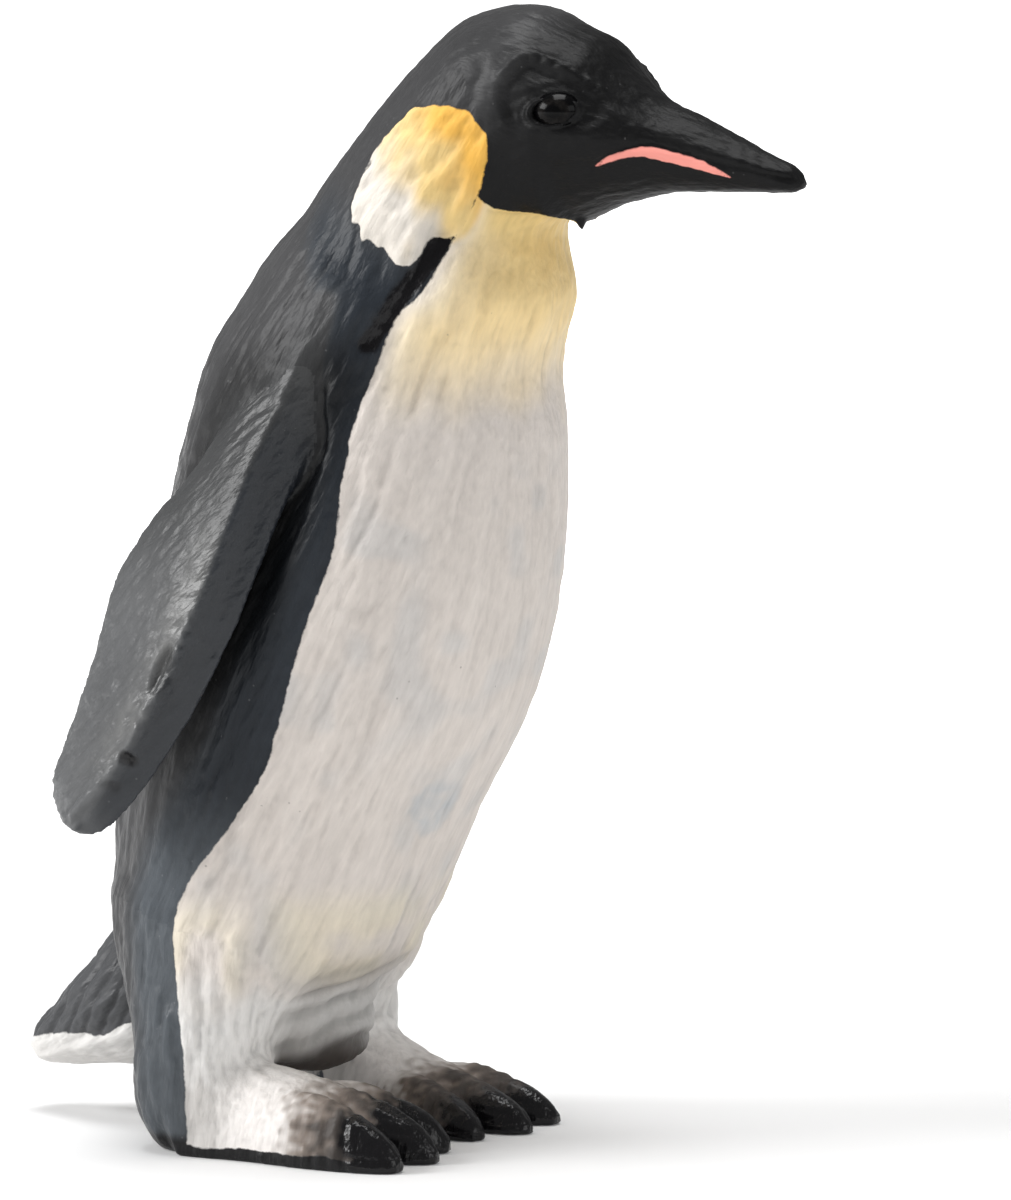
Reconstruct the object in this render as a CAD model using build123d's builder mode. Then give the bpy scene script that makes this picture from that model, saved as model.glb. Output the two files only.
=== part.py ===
from build123d import *
from math import atan2, cos, radians, sin, sqrt, tan
import os

# Penguin figurine, standing. Millimetres, +Z up, facing -Y, its left side towards +X.
# Cross-sections run up the trunk and then forward through the head. Each one is placed from the one
# before it by a rise and an advance, where an advance is a step towards the front, -Y.

# Fits
WALL = 2.0
GLUE_LINE = 0.05
PEG_CLEARANCE = 0.1
PEG_END_GAP = 0.3

# Trunk, from the underside up to the throat
SEAT_Z = 9.4
SEAT_Y = 10.6
SEAT_HALF_DEPTH = 5.6
SEAT_HALF_WIDTH = 7.0

HEM_RISE = 2.2
HEM_ADVANCE = 0.2
HEM_HALF_DEPTH = 8.4
HEM_HALF_WIDTH = 9.6

HIP_RISE = 4.4
HIP_ADVANCE = 0.5
HIP_HALF_DEPTH = 10.2
HIP_HALF_WIDTH = 11.2

THIGH_RISE = 5.0
THIGH_ADVANCE = 1.2
THIGH_HALF_DEPTH = 11.4
THIGH_HALF_WIDTH = 12.3

BELLY_RISE = 7.0
BELLY_ADVANCE = 2.4
BELLY_HALF_DEPTH = 12.6
BELLY_HALF_WIDTH = 13.5

BREAST_RISE = 8.0
BREAST_ADVANCE = 2.1
BREAST_HALF_DEPTH = 12.65
BREAST_HALF_WIDTH = 13.6

CHEST_RISE = 8.0
CHEST_ADVANCE = 1.2
CHEST_HALF_DEPTH = 12.05
CHEST_HALF_WIDTH = 12.9

SHOULDER_RISE = 6.0
SHOULDER_ADVANCE = 0.85
SHOULDER_HALF_DEPTH = 11.2
SHOULDER_HALF_WIDTH = 11.7

COLLAR_RISE = 4.5
COLLAR_ADVANCE = 1.65
COLLAR_HALF_DEPTH = 10.2
COLLAR_HALF_WIDTH = 10.3

NECK_RISE = 3.8
NECK_ADVANCE = 1.3
NECK_HALF_DEPTH = 8.9
NECK_HALF_WIDTH = 8.9

NAPE_RISE = 3.75
NAPE_ADVANCE = 2.9
NAPE_TILT = 21.0
NAPE_HALF_DEPTH = 7.6
NAPE_HALF_WIDTH = 7.7

POLL_RISE = 2.0
POLL_ADVANCE = 2.2
POLL_TILT = 40.0
POLL_HALF_DEPTH = 7.5
POLL_HALF_WIDTH = 7.0

# Head, from the joint with the trunk forward to the bill tip
MASK_RISE = 1.6
MASK_ADVANCE = 2.6
MASK_TILT = 60.0
MASK_HALF_DEPTH = 7.9
MASK_HALF_WIDTH = 6.4

BROW_RISE = 0.4
BROW_ADVANCE = 3.8
BROW_TILT = 74.0
BROW_HALF_DEPTH = 6.82
BROW_HALF_WIDTH = 6.0

FOREHEAD_DROP = 0.7
FOREHEAD_ADVANCE = 3.0
FOREHEAD_TILT = 82.0
FOREHEAD_HALF_DEPTH = 5.1
FOREHEAD_HALF_WIDTH = 4.9

BILL_ROOT_DROP = 1.0
BILL_ROOT_ADVANCE = 2.85
BILL_ROOT_TILT = 87.0
BILL_ROOT_HALF_DEPTH = 3.15
BILL_ROOT_HALF_WIDTH = 3.3

BILL_THIRD_DROP = 0.5
BILL_THIRD_ADVANCE = 2.65
BILL_THIRD_HALF_DEPTH = 2.45
BILL_THIRD_HALF_WIDTH = 2.5

BILL_MIDDLE_DROP = 0.75
BILL_MIDDLE_ADVANCE = 3.6
BILL_MIDDLE_HALF_DEPTH = 1.6
BILL_MIDDLE_HALF_WIDTH = 1.75

BILL_NAIL_DROP = 0.65
BILL_NAIL_ADVANCE = 2.6
BILL_NAIL_HALF_DEPTH = 0.9
BILL_NAIL_HALF_WIDTH = 1.0

BILL_TIP_DROP = 0.3
BILL_TIP_ADVANCE = 0.9
BILL_TIP_HALF_DEPTH = 0.35
BILL_TIP_HALF_WIDTH = 0.4

# Underside between the legs, measured down from the hem
CROTCH_DROP = 2.6
CROTCH_HALF_DEPTH = 6.3
CROTCH_HALF_WIDTH = 6.2
VENT_DROP = 3.6
VENT_ADVANCE = 0.4
VENT_HALF_DEPTH = 4.4
VENT_HALF_WIDTH = 3.2

SPIGOT_RADIUS = 3.2
SPIGOT_LENGTH = 5.5

# Eyes, placed from the brow section
EYE_RADIUS = 1.35
EYE_ADVANCE = 0.8
EYE_RISE = 0.3
EYE_INSET = 1.15

# Flippers, measured along the blade from the shoulder
FLIPPER_ROOT_OUT = 9.6
FLIPPER_ROOT_FORWARD = 1.3
FLIPPER_ROOT_RISE = 2.5
FLIPPER_SWEEP = 23.0
FLIPPER_SPREAD = 14.5
FLIPPER_TURN = 20.0
RIDGE_RISE = 0.7
NOSE_REACH = 1.4
OUTER_BULGE = 0.5
NOSE_BULGE = 0.4
INNER_BULGE = 0.3

SHOULDER_TRAIL = 3.6
SHOULDER_LEAD = 0.8
SHOULDER_THICKNESS = 3.6

UPPER_ARM_STEP = 10.0
UPPER_ARM_BOW = 1.5
UPPER_ARM_TRAIL = 4.3
UPPER_ARM_LEAD = 1.7
UPPER_ARM_THICKNESS = 3.2

ELBOW_STEP = 9.0
ELBOW_BOW = 1.7
ELBOW_TRAIL = 5.9
ELBOW_LEAD = 2.9
ELBOW_THICKNESS = 3.1

PALM_STEP = 7.0
PALM_BOW = 1.0
PALM_TRAIL = 5.4
PALM_LEAD = 2.4
PALM_THICKNESS = 2.7

FINGER_STEP = 5.0
FINGER_BOW = 0.3
FINGER_TRAIL = 4.7
FINGER_LEAD = 1.2
FINGER_THICKNESS = 2.2

TIP_STEP = 3.2
TIP_BOW = 0.1
TIP_TRAIL = 2.6
TIP_LEAD = 0.2
TIP_THICKNESS = 1.2

FLIPPER_PEG_RADIUS = 1.8
FLIPPER_PEG_LENGTH = 4.5
FLIPPER_PEG_ROOT = 0.3
FLIPPER_PEG_DROP = 4.6
FLIPPER_PEG_BACK = 1.6
BOSS_WALL = 1.5

# Legs
LEG_OUT = 8.5
LEG_BACK = 0.8
LEG_HALF_DEPTH = 3.85
LEG_HALF_WIDTH = 3.7
LEG_TOP_HALF_DEPTH = 5.2
LEG_TOP_HALF_WIDTH = 3.9
HEEL_ROUND = 1.6
HEEL_RISE = 3.0
SHANK_RISE = 5.0
LEG_TOP_RISE = 7.5
LEG_TOP_IN = 1.9
LEG_PEG_RADIUS = 1.7
LEG_PEG_BACK = 1.1
LEG_PEG_COVER = 0.8
LEG_PEG_LENGTH = 6.5

# Feet, measured forward from the leg
TOE_IN = 8.0
ANKLE_HEIGHT = 6.2
ANKLE_HALF_WIDTH = 3.5
INSTEP_STEP = 4.5
INSTEP_HEIGHT = 5.8
INSTEP_HALF_WIDTH = 3.9
KNUCKLE_STEP = 5.5
KNUCKLE_HEIGHT = 4.5
KNUCKLE_HALF_WIDTH = 4.7
WEB_STEP = 2.8
WEB_HEIGHT = 2.3
WEB_HALF_WIDTH = 4.3

# Toes, measured forward from the knuckle line
TOE_GAP = 2.9
TOE_SPREAD = 10.5
TOE_ROOT_BACK = 2.0
TOE_ROOT_HEIGHT = 3.8
TOE_ROOT_HALF_WIDTH = 1.6
TOE_BALL_HEIGHT = 4.5
TOE_BALL_HALF_WIDTH = 1.9
NAIL_STEP = 3.8
NAIL_HEIGHT = 3.2
NAIL_HALF_WIDTH = 1.6
CLAW_STEP = 2.7
CLAW_HEIGHT = 1.0
CLAW_HALF_WIDTH = 0.5
SIDE_TOE_SETBACK = 0.8

# Tail, measured along its length from inside the rump
TAIL_ROOT_BACK = 3.5
TAIL_ROOT_RISE = 2.6
TAIL_DROOP = 31.0
TAIL_ROOT_HALF_HEIGHT = 5.4
TAIL_ROOT_HALF_WIDTH = 4.4
TAIL_MIDDLE_STEP = 8.0
TAIL_MIDDLE_HALF_HEIGHT = 4.6
TAIL_MIDDLE_HALF_WIDTH = 4.4
TAIL_END_STEP = 4.0
TAIL_END_HALF_HEIGHT = 2.9
TAIL_END_HALF_WIDTH = 3.4
TAIL_TIP_STEP = 3.6
TAIL_TIP_HALF_HEIGHT = 0.7
TAIL_TIP_HALF_WIDTH = 1.5
TENON_RADIUS = 1.8
TENON_LENGTH = 6.5

# Locating posts between the two shells
POST_RADIUS = 2.4
PIN_RADIUS = 1.2
PIN_LENGTH = 3.0
LOWER_POST_OUT = 6.5
LOWER_POST_RISE = 13.0
UPPER_POST_RISE = 36.0

# Cuts that pass right through a wall run on this far past it
OVERRUN = 30.0

os.makedirs("parts", exist_ok=True)


def stations(start_y, start_z, steps):
    """Section centres and sizes, each placed from the one before: (y, z, tilt, half_depth, half_width)."""
    placed = []
    y, z = start_y, start_z
    for rise, advance, tilt, half_depth, half_width in steps:
        y -= advance
        z += rise
        placed.append((y, z, tilt, half_depth, half_width))
    return placed


def section_plane(y, z, tilt):
    """Plane across the body, tilted forward about X. Its local y runs from front to back."""
    normal = (0, -sin(radians(tilt)), cos(radians(tilt)))
    return Plane(origin=(0, y, z), x_dir=(1, 0, 0), z_dir=normal)


def lofted(sections, growth):
    """Body through elliptical sections made larger by growth: the left half is lofted, then mirrored."""
    with BuildPart() as body:
        for y, z, tilt, half_depth, half_width in sections:
            with BuildSketch(section_plane(y, z, tilt)):
                with BuildLine():
                    depth, width = half_depth + growth, half_width + growth
                    EllipticalCenterArc((0, 0), width, depth, -90, arc_size=180)
                    Line((0, depth), (0, -depth))
                make_face()
        loft()
        mirror(about=Plane.YZ)
    return body.part


def half_width_at(y, z):
    """Half the trunk's width at a place on its side, from the two sections that the place lies between."""
    below, above = next(pair for pair in zip(torso, torso[1:]) if z <= pair[1][1])
    share = (z - below[1]) / (above[1] - below[1])
    centre, _, _, half_depth, half_width = (low + share * (high - low) for low, high in zip(below, above))
    return half_width * sqrt(1 - ((y - centre) / half_depth) ** 2)


def flipper_peg_plane(side):
    """Plane at the inner end of a shoulder peg, looking out of the trunk. The right side is -1."""
    reach = half_width_at(flipper_peg_y, flipper_peg_z) - FLIPPER_PEG_LENGTH
    return Plane(origin=(side * reach, flipper_peg_y, flipper_peg_z), z_dir=(side, 0, 0))


def leg_peg_plane(side):
    """Plane at the top of a leg peg, looking down."""
    return Plane(origin=(side * LEG_OUT, leg_y + LEG_PEG_BACK, hip[1] - LEG_PEG_COVER), z_dir=(0, 0, -1))


def bowed(start, end, bulge):
    """Middle point of an arc from start to end that stands proud of its chord, on the left, by bulge."""
    along = Vector(*end) - Vector(*start)
    return (Vector(*start) + Vector(*end)) / 2 + along.rotate(Axis.Z, 90).normalized() * bulge


def arch(half_width, height):
    """Closed arch on the local x axis, flat below and round above."""
    with BuildSketch() as outline:
        with BuildLine():
            EllipticalCenterArc((0, 0), half_width, height, 0, arc_size=90)
            EllipticalCenterArc((0, 0), half_width, height, 90, arc_size=90)
            Line((-half_width, 0), (half_width, 0))
        make_face()
    return outline.sketch


# Section centres of the whole figure, seat to bill tip
spine = stations(
    SEAT_Y,
    SEAT_Z,
    [
        (0, 0, 0, SEAT_HALF_DEPTH, SEAT_HALF_WIDTH),
        (HEM_RISE, HEM_ADVANCE, 0, HEM_HALF_DEPTH, HEM_HALF_WIDTH),
        (HIP_RISE, HIP_ADVANCE, 0, HIP_HALF_DEPTH, HIP_HALF_WIDTH),
        (THIGH_RISE, THIGH_ADVANCE, 0, THIGH_HALF_DEPTH, THIGH_HALF_WIDTH),
        (BELLY_RISE, BELLY_ADVANCE, 0, BELLY_HALF_DEPTH, BELLY_HALF_WIDTH),
        (BREAST_RISE, BREAST_ADVANCE, 0, BREAST_HALF_DEPTH, BREAST_HALF_WIDTH),
        (CHEST_RISE, CHEST_ADVANCE, 0, CHEST_HALF_DEPTH, CHEST_HALF_WIDTH),
        (SHOULDER_RISE, SHOULDER_ADVANCE, 0, SHOULDER_HALF_DEPTH, SHOULDER_HALF_WIDTH),
        (COLLAR_RISE, COLLAR_ADVANCE, 0, COLLAR_HALF_DEPTH, COLLAR_HALF_WIDTH),
        (NECK_RISE, NECK_ADVANCE, 0, NECK_HALF_DEPTH, NECK_HALF_WIDTH),
        (NAPE_RISE, NAPE_ADVANCE, NAPE_TILT, NAPE_HALF_DEPTH, NAPE_HALF_WIDTH),
        (POLL_RISE, POLL_ADVANCE, POLL_TILT, POLL_HALF_DEPTH, POLL_HALF_WIDTH),
        (MASK_RISE, MASK_ADVANCE, MASK_TILT, MASK_HALF_DEPTH, MASK_HALF_WIDTH),
        (BROW_RISE, BROW_ADVANCE, BROW_TILT, BROW_HALF_DEPTH, BROW_HALF_WIDTH),
        (-FOREHEAD_DROP, FOREHEAD_ADVANCE, FOREHEAD_TILT, FOREHEAD_HALF_DEPTH, FOREHEAD_HALF_WIDTH),
        (-BILL_ROOT_DROP, BILL_ROOT_ADVANCE, BILL_ROOT_TILT, BILL_ROOT_HALF_DEPTH, BILL_ROOT_HALF_WIDTH),
        (-BILL_THIRD_DROP, BILL_THIRD_ADVANCE, 90, BILL_THIRD_HALF_DEPTH, BILL_THIRD_HALF_WIDTH),
        (-BILL_MIDDLE_DROP, BILL_MIDDLE_ADVANCE, 90, BILL_MIDDLE_HALF_DEPTH, BILL_MIDDLE_HALF_WIDTH),
        (-BILL_NAIL_DROP, BILL_NAIL_ADVANCE, 90, BILL_NAIL_HALF_DEPTH, BILL_NAIL_HALF_WIDTH),
        (-BILL_TIP_DROP, BILL_TIP_ADVANCE, 90, BILL_TIP_HALF_DEPTH, BILL_TIP_HALF_WIDTH),
    ],
)
seat, hem, hip = spine[:3]
shoulder = spine[7]
torso = spine[:10]
mask, brow = spine[12:14]
underside = stations(
    hem[0],
    hem[1],
    [
        (0, 0, 0, CROTCH_HALF_DEPTH, CROTCH_HALF_WIDTH),
        (-CROTCH_DROP, 0, 0, CROTCH_HALF_DEPTH, CROTCH_HALF_WIDTH),
        (-VENT_DROP, VENT_ADVANCE, 0, VENT_HALF_DEPTH, VENT_HALF_WIDTH),
    ],
)

core = lofted(spine, 0) + lofted(underside, 0)
limb_cutter = lofted(spine, GLUE_LINE) + lofted(underside, GLUE_LINE)
cavity = lofted(torso[2:], -WALL)
head_joint = section_plane(*mask[:3])

# Seam between the shells, from the middle of the hem to the middle of the head joint
seam_lean = atan2(hem[0] - mask[0], mask[1] - hem[1])
seam = Plane(origin=(0, hem[0], hem[1]), x_dir=(1, 0, 0), z_dir=(0, -cos(seam_lean), -sin(seam_lean)))
post_places = [
    (-LOWER_POST_OUT, LOWER_POST_RISE),
    (LOWER_POST_OUT, LOWER_POST_RISE),
    (0, UPPER_POST_RISE),
]

# Where the limbs plug in
flipper_peg_y = shoulder[0] + FLIPPER_PEG_BACK
flipper_peg_z = shoulder[1] - FLIPPER_PEG_DROP
leg_y = hem[0] + LEG_BACK
tail_plane = Plane(
    origin=(0, seat[0] + TAIL_ROOT_BACK, seat[1] + TAIL_ROOT_RISE),
    x_dir=(1, 0, 0),
    z_dir=(0, cos(radians(TAIL_DROOP)), -sin(radians(TAIL_DROOP))),
)

# Hollow of the trunk, less the locating posts and the shoulder bosses
with BuildPart() as hollow:
    add(cavity)
    with BuildSketch(seam):
        with Locations(*post_places):
            Circle(POST_RADIUS)
    extrude(amount=OVERRUN, both=True, mode=Mode.SUBTRACT)
    for side in (-1, 1):
        with BuildSketch(flipper_peg_plane(side).offset(-PEG_END_GAP - BOSS_WALL)):
            Circle(FLIPPER_PEG_RADIUS + PEG_CLEARANCE + BOSS_WALL)
        extrude(amount=OVERRUN, mode=Mode.SUBTRACT)

# Trunk, hollow, with every socket bored
with BuildPart() as trunk:
    add(core)
    split(bisect_by=head_joint, keep=Keep.BOTTOM)
    add(hollow.part, mode=Mode.SUBTRACT)
    with BuildSketch(head_joint.offset(-SPIGOT_LENGTH - PEG_END_GAP)):
        Circle(SPIGOT_RADIUS + PEG_CLEARANCE)
    extrude(amount=OVERRUN, mode=Mode.SUBTRACT)
    for side in (-1, 1):
        with BuildSketch(flipper_peg_plane(side).offset(-PEG_END_GAP)):
            Circle(FLIPPER_PEG_RADIUS + PEG_CLEARANCE)
        extrude(amount=OVERRUN, mode=Mode.SUBTRACT)
        with BuildSketch(leg_peg_plane(side).offset(-PEG_END_GAP)):
            Circle(LEG_PEG_RADIUS + PEG_CLEARANCE)
        extrude(amount=OVERRUN, mode=Mode.SUBTRACT)
    with BuildSketch(tail_plane.offset(-PEG_END_GAP)):
        Circle(TENON_RADIUS + PEG_CLEARANCE)
    extrude(amount=OVERRUN, mode=Mode.SUBTRACT)

# Front shell, with the locating pins
with BuildPart() as belly_shell:
    add(trunk.part)
    split(bisect_by=seam, keep=Keep.TOP)
    with BuildSketch(seam):
        with Locations(*post_places):
            Circle(PIN_RADIUS)
    extrude(amount=-PIN_LENGTH)

# Rear shell, with the holes for the pins
with BuildPart() as back_shell:
    add(trunk.part)
    split(bisect_by=seam, keep=Keep.BOTTOM)
    with BuildSketch(seam):
        with Locations(*post_places):
            Circle(PIN_RADIUS + PEG_CLEARANCE)
    extrude(amount=-PIN_LENGTH - PEG_END_GAP, mode=Mode.SUBTRACT)

# Eyes, beads let into the sides of the head
eye_place = (-(brow[4] - EYE_INSET), brow[0] - EYE_ADVANCE, brow[1] + EYE_RISE)
with BuildPart() as right_eye:
    with Locations(eye_place):
        Sphere(EYE_RADIUS)
with BuildPart() as left_eye:
    mirror(right_eye.part, about=Plane.YZ)

# Head, with its spigot and the eye sockets: the right half is cut, then mirrored
with BuildPart() as head:
    add(core)
    split(bisect_by=head_joint, keep=Keep.TOP)
    with BuildSketch(head_joint):
        Circle(SPIGOT_RADIUS)
    extrude(amount=-SPIGOT_LENGTH)
    with Locations(eye_place):
        Sphere(EYE_RADIUS + GLUE_LINE, mode=Mode.SUBTRACT)
    split(bisect_by=Plane.YZ, keep=Keep.BOTTOM)
    mirror(about=Plane.YZ)

# Right flipper: a blade with a blunt leading edge, hung from the shoulder, down, back and out
blade_axis = Vector(-tan(radians(FLIPPER_SPREAD)), tan(radians(FLIPPER_SWEEP)), -1)
blade_face = Vector(-cos(radians(FLIPPER_TURN)), sin(radians(FLIPPER_TURN)), 0)
blade_root = Plane(
    origin=(-FLIPPER_ROOT_OUT, shoulder[0] - FLIPPER_ROOT_FORWARD, shoulder[1] + FLIPPER_ROOT_RISE),
    x_dir=blade_face.cross(blade_axis),
    z_dir=blade_axis,
)
blade_steps = [
    (0, 0, SHOULDER_TRAIL, SHOULDER_LEAD, SHOULDER_THICKNESS),
    (UPPER_ARM_STEP, UPPER_ARM_BOW, UPPER_ARM_TRAIL, UPPER_ARM_LEAD, UPPER_ARM_THICKNESS),
    (ELBOW_STEP, ELBOW_BOW, ELBOW_TRAIL, ELBOW_LEAD, ELBOW_THICKNESS),
    (PALM_STEP, PALM_BOW, PALM_TRAIL, PALM_LEAD, PALM_THICKNESS),
    (FINGER_STEP, FINGER_BOW, FINGER_TRAIL, FINGER_LEAD, FINGER_THICKNESS),
    (TIP_STEP, TIP_BOW, TIP_TRAIL, TIP_LEAD, TIP_THICKNESS),
]
with BuildPart() as right_flipper:
    reach = 0
    for step, bow, trail, lead, thickness in blade_steps:
        reach += step
        trailing_edge = (-trail, bow)
        ridge = (lead, bow + RIDGE_RISE)
        inner_edge = (lead + NOSE_REACH, bow + RIDGE_RISE - thickness)
        with BuildSketch(blade_root.offset(reach)):
            with BuildLine():
                ThreePointArc(trailing_edge, bowed(trailing_edge, ridge, OUTER_BULGE), ridge)
                ThreePointArc(ridge, bowed(ridge, inner_edge, NOSE_BULGE), inner_edge)
                ThreePointArc(inner_edge, bowed(inner_edge, trailing_edge, INNER_BULGE), trailing_edge)
            make_face()
    loft()
    add(limb_cutter, mode=Mode.SUBTRACT)
    with BuildSketch(flipper_peg_plane(-1)):
        Circle(FLIPPER_PEG_RADIUS)
    extrude(amount=FLIPPER_PEG_LENGTH + FLIPPER_PEG_ROOT)
with BuildPart() as left_flipper:
    mirror(right_flipper.part, about=Plane.YZ)

# Right leg and foot
foot_along = Vector(sin(radians(TOE_IN)), -cos(radians(TOE_IN)), 0)
foot_across = Vector(cos(radians(TOE_IN)), sin(radians(TOE_IN)), 0)
foot_plane = Plane(origin=(-LEG_OUT, leg_y, 0), x_dir=foot_across, z_dir=foot_along)
leg_steps = [
    (0, LEG_OUT, LEG_HALF_DEPTH - HEEL_ROUND, LEG_HALF_WIDTH - HEEL_ROUND),
    (HEEL_RISE, LEG_OUT, LEG_HALF_DEPTH, LEG_HALF_WIDTH),
    (SHANK_RISE, LEG_OUT, LEG_HALF_DEPTH, LEG_HALF_WIDTH),
    (LEG_TOP_RISE, LEG_OUT - LEG_TOP_IN, LEG_TOP_HALF_DEPTH, LEG_TOP_HALF_WIDTH),
]
foot_steps = [
    (0, ANKLE_HALF_WIDTH, ANKLE_HEIGHT),
    (INSTEP_STEP, INSTEP_HALF_WIDTH, INSTEP_HEIGHT),
    (KNUCKLE_STEP, KNUCKLE_HALF_WIDTH, KNUCKLE_HEIGHT),
    (WEB_STEP, WEB_HALF_WIDTH, WEB_HEIGHT),
]
toe_steps = [
    (-TOE_ROOT_BACK, TOE_ROOT_HALF_WIDTH, TOE_ROOT_HEIGHT),
    (TOE_ROOT_BACK, TOE_BALL_HALF_WIDTH, TOE_BALL_HEIGHT),
    (NAIL_STEP, NAIL_HALF_WIDTH, NAIL_HEIGHT),
    (CLAW_STEP, CLAW_HALF_WIDTH, CLAW_HEIGHT),
]
with BuildPart() as right_foot:
    height = 0
    for rise, out, half_depth, half_width in leg_steps:
        height += rise
        with BuildSketch(Plane(origin=(-out, leg_y, height))):
            Ellipse(half_width, half_depth)
    loft()
    reach = 0
    for step, half_width, height in foot_steps:
        reach += step
        with BuildSketch(foot_plane.offset(reach)):
            add(arch(half_width, height))
    loft()
    for toe in (-1, 0, 1):
        turn = TOE_IN + toe * TOE_SPREAD
        toe_line = Plane(
            origin=foot_plane.origin
            + foot_along * (INSTEP_STEP + KNUCKLE_STEP - abs(toe) * SIDE_TOE_SETBACK)
            + foot_across * toe * TOE_GAP,
            x_dir=(cos(radians(turn)), sin(radians(turn)), 0),
            z_dir=(sin(radians(turn)), -cos(radians(turn)), 0),
        )
        reach = 0
        for step, half_width, height in toe_steps:
            reach += step
            with BuildSketch(toe_line.offset(reach)):
                add(arch(half_width, height))
        loft()
    add(limb_cutter, mode=Mode.SUBTRACT)
    with BuildSketch(leg_peg_plane(-1)):
        Circle(LEG_PEG_RADIUS)
    extrude(amount=LEG_PEG_LENGTH)
with BuildPart() as left_foot:
    mirror(right_foot.part, about=Plane.YZ)

# Tail, a wedge with a round tenon
tail_steps = [
    (0, TAIL_ROOT_HALF_WIDTH, TAIL_ROOT_HALF_HEIGHT),
    (TAIL_MIDDLE_STEP, TAIL_MIDDLE_HALF_WIDTH, TAIL_MIDDLE_HALF_HEIGHT),
    (TAIL_END_STEP, TAIL_END_HALF_WIDTH, TAIL_END_HALF_HEIGHT),
    (TAIL_TIP_STEP, TAIL_TIP_HALF_WIDTH, TAIL_TIP_HALF_HEIGHT),
]
with BuildPart() as tail:
    reach = 0
    for step, half_width, half_height in tail_steps:
        reach += step
        with BuildSketch(tail_plane.offset(reach)):
            Ellipse(half_width, half_height)
    loft()
    add(limb_cutter, mode=Mode.SUBTRACT)
    add(right_foot.part, mode=Mode.SUBTRACT)
    add(left_foot.part, mode=Mode.SUBTRACT)
    with BuildSketch(tail_plane):
        Circle(TENON_RADIUS)
    extrude(amount=TENON_LENGTH)

pieces = {
    "belly_shell": belly_shell,
    "back_shell": back_shell,
    "head": head,
    "right_eye": right_eye,
    "left_eye": left_eye,
    "right_flipper": right_flipper,
    "left_flipper": left_flipper,
    "right_foot": right_foot,
    "left_foot": left_foot,
    "tail": tail,
}
for name, piece in pieces.items():
    piece.part.label = name
    export_step(piece.part, f"parts/{name}.step")
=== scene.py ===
"""Looks of the penguin figurine: sculpted surface, hand-painted finish, studio light and camera."""

import math

import bpy
import numpy as np
import openvdb
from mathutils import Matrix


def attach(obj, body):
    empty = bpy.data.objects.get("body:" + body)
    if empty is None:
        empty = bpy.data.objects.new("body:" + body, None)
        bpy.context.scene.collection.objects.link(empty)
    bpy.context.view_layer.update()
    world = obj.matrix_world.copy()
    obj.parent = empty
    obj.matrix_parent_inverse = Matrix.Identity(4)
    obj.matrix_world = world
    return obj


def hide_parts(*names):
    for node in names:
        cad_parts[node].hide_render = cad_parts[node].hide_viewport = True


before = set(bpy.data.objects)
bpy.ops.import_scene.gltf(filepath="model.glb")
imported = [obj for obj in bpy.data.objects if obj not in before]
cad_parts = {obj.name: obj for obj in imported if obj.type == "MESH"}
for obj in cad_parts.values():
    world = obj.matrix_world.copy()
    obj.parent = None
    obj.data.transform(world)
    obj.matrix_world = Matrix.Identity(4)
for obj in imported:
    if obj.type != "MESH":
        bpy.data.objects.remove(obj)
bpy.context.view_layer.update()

# Lengths below are in millimetres, in the CAD frame: +Z up, the bird faces -Y, its right side is -X.
MM = 0.001
BACK = (0.0, 1.0, 0.0)
VOXEL = 0.2
BAND = 20
LOW = np.array([-102, -148, -5])
HIGH = np.array([0, 148, 375])
SHAPE = tuple(HIGH - LOW + 1)
RING_POINTS = 96
TRUNK_RING_POINTS = 160

# Trunk, head and bill: centre y, centre z, forward tilt in degrees, half depth, half width
SPINE = [
    (10.6, 9.4, 0, 5.6, 7.0),
    (10.4, 11.6, 0, 8.4, 9.6),
    (9.9, 16.0, 0, 10.2, 11.2),
    (8.7, 21.0, 0, 11.4, 12.3),
    (6.3, 28.0, 0, 12.6, 13.5),
    (4.2, 36.0, 0, 12.65, 13.6),
    (3.0, 44.0, 0, 12.05, 12.9),
    (2.15, 50.0, 0, 11.2, 11.7),
    (0.5, 54.5, 0, 10.2, 10.3),
    (-0.8, 58.3, 0, 8.9, 8.9),
    (-3.7, 62.05, 21, 7.6, 7.7),
    (-5.9, 64.05, 40, 7.5, 7.0),
    (-8.5, 65.65, 60, 7.9, 6.4),
    (-12.3, 66.05, 74, 6.82, 6.0),
    (-15.3, 65.35, 82, 5.1, 4.9),
    (-18.15, 64.35, 87, 3.15, 3.3),
    (-20.8, 63.85, 90, 2.45, 2.5),
    (-24.4, 63.1, 90, 1.6, 1.75),
    (-27.0, 62.45, 90, 0.9, 1.0),
    (-27.8, 62.2, 90, 0.4, 0.45),
]
HEAD_JOINT = ((0.0, -8.5, 65.65), 60.0)
SEAM_LOW = (10.4, 11.6)
SEAM_HIGH = (-8.5, 65.65)

# Right flipper: root, directions in degrees, then reach, bow, trailing edge, ridge and thickness
FLIPPER_ROOT = (-9.6, 0.85, 52.5)
FLIPPER_SWEEP = 23.0
FLIPPER_SPREAD = 14.5
FLIPPER_TURN = 20.0
FLIPPER_SECTIONS = [
    (-2.0, -0.3, 3.0, 0.5, 3.4),
    (0.0, 0.0, 3.6, 0.8, 3.6),
    (10.0, 1.5, 3.9, 1.7, 3.2),
    (19.0, 1.7, 5.9, 2.9, 3.1),
    (26.0, 1.0, 5.0, 2.4, 2.7),
    (31.0, 0.3, 4.9, 1.2, 2.2),
    (33.0, 0.15, 4.6, 0.6, 1.8),
    (34.2, 0.0, 3.7, 0.0, 1.3),
    (34.8, 0.0, 2.7, -0.6, 0.9),
    (35.1, 0.0, 1.8, -1.0, 0.6),
]
RIDGE_RISE = 0.85
TAPER_FROM = 2.2
NOSE_REACH = 1.4

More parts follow.
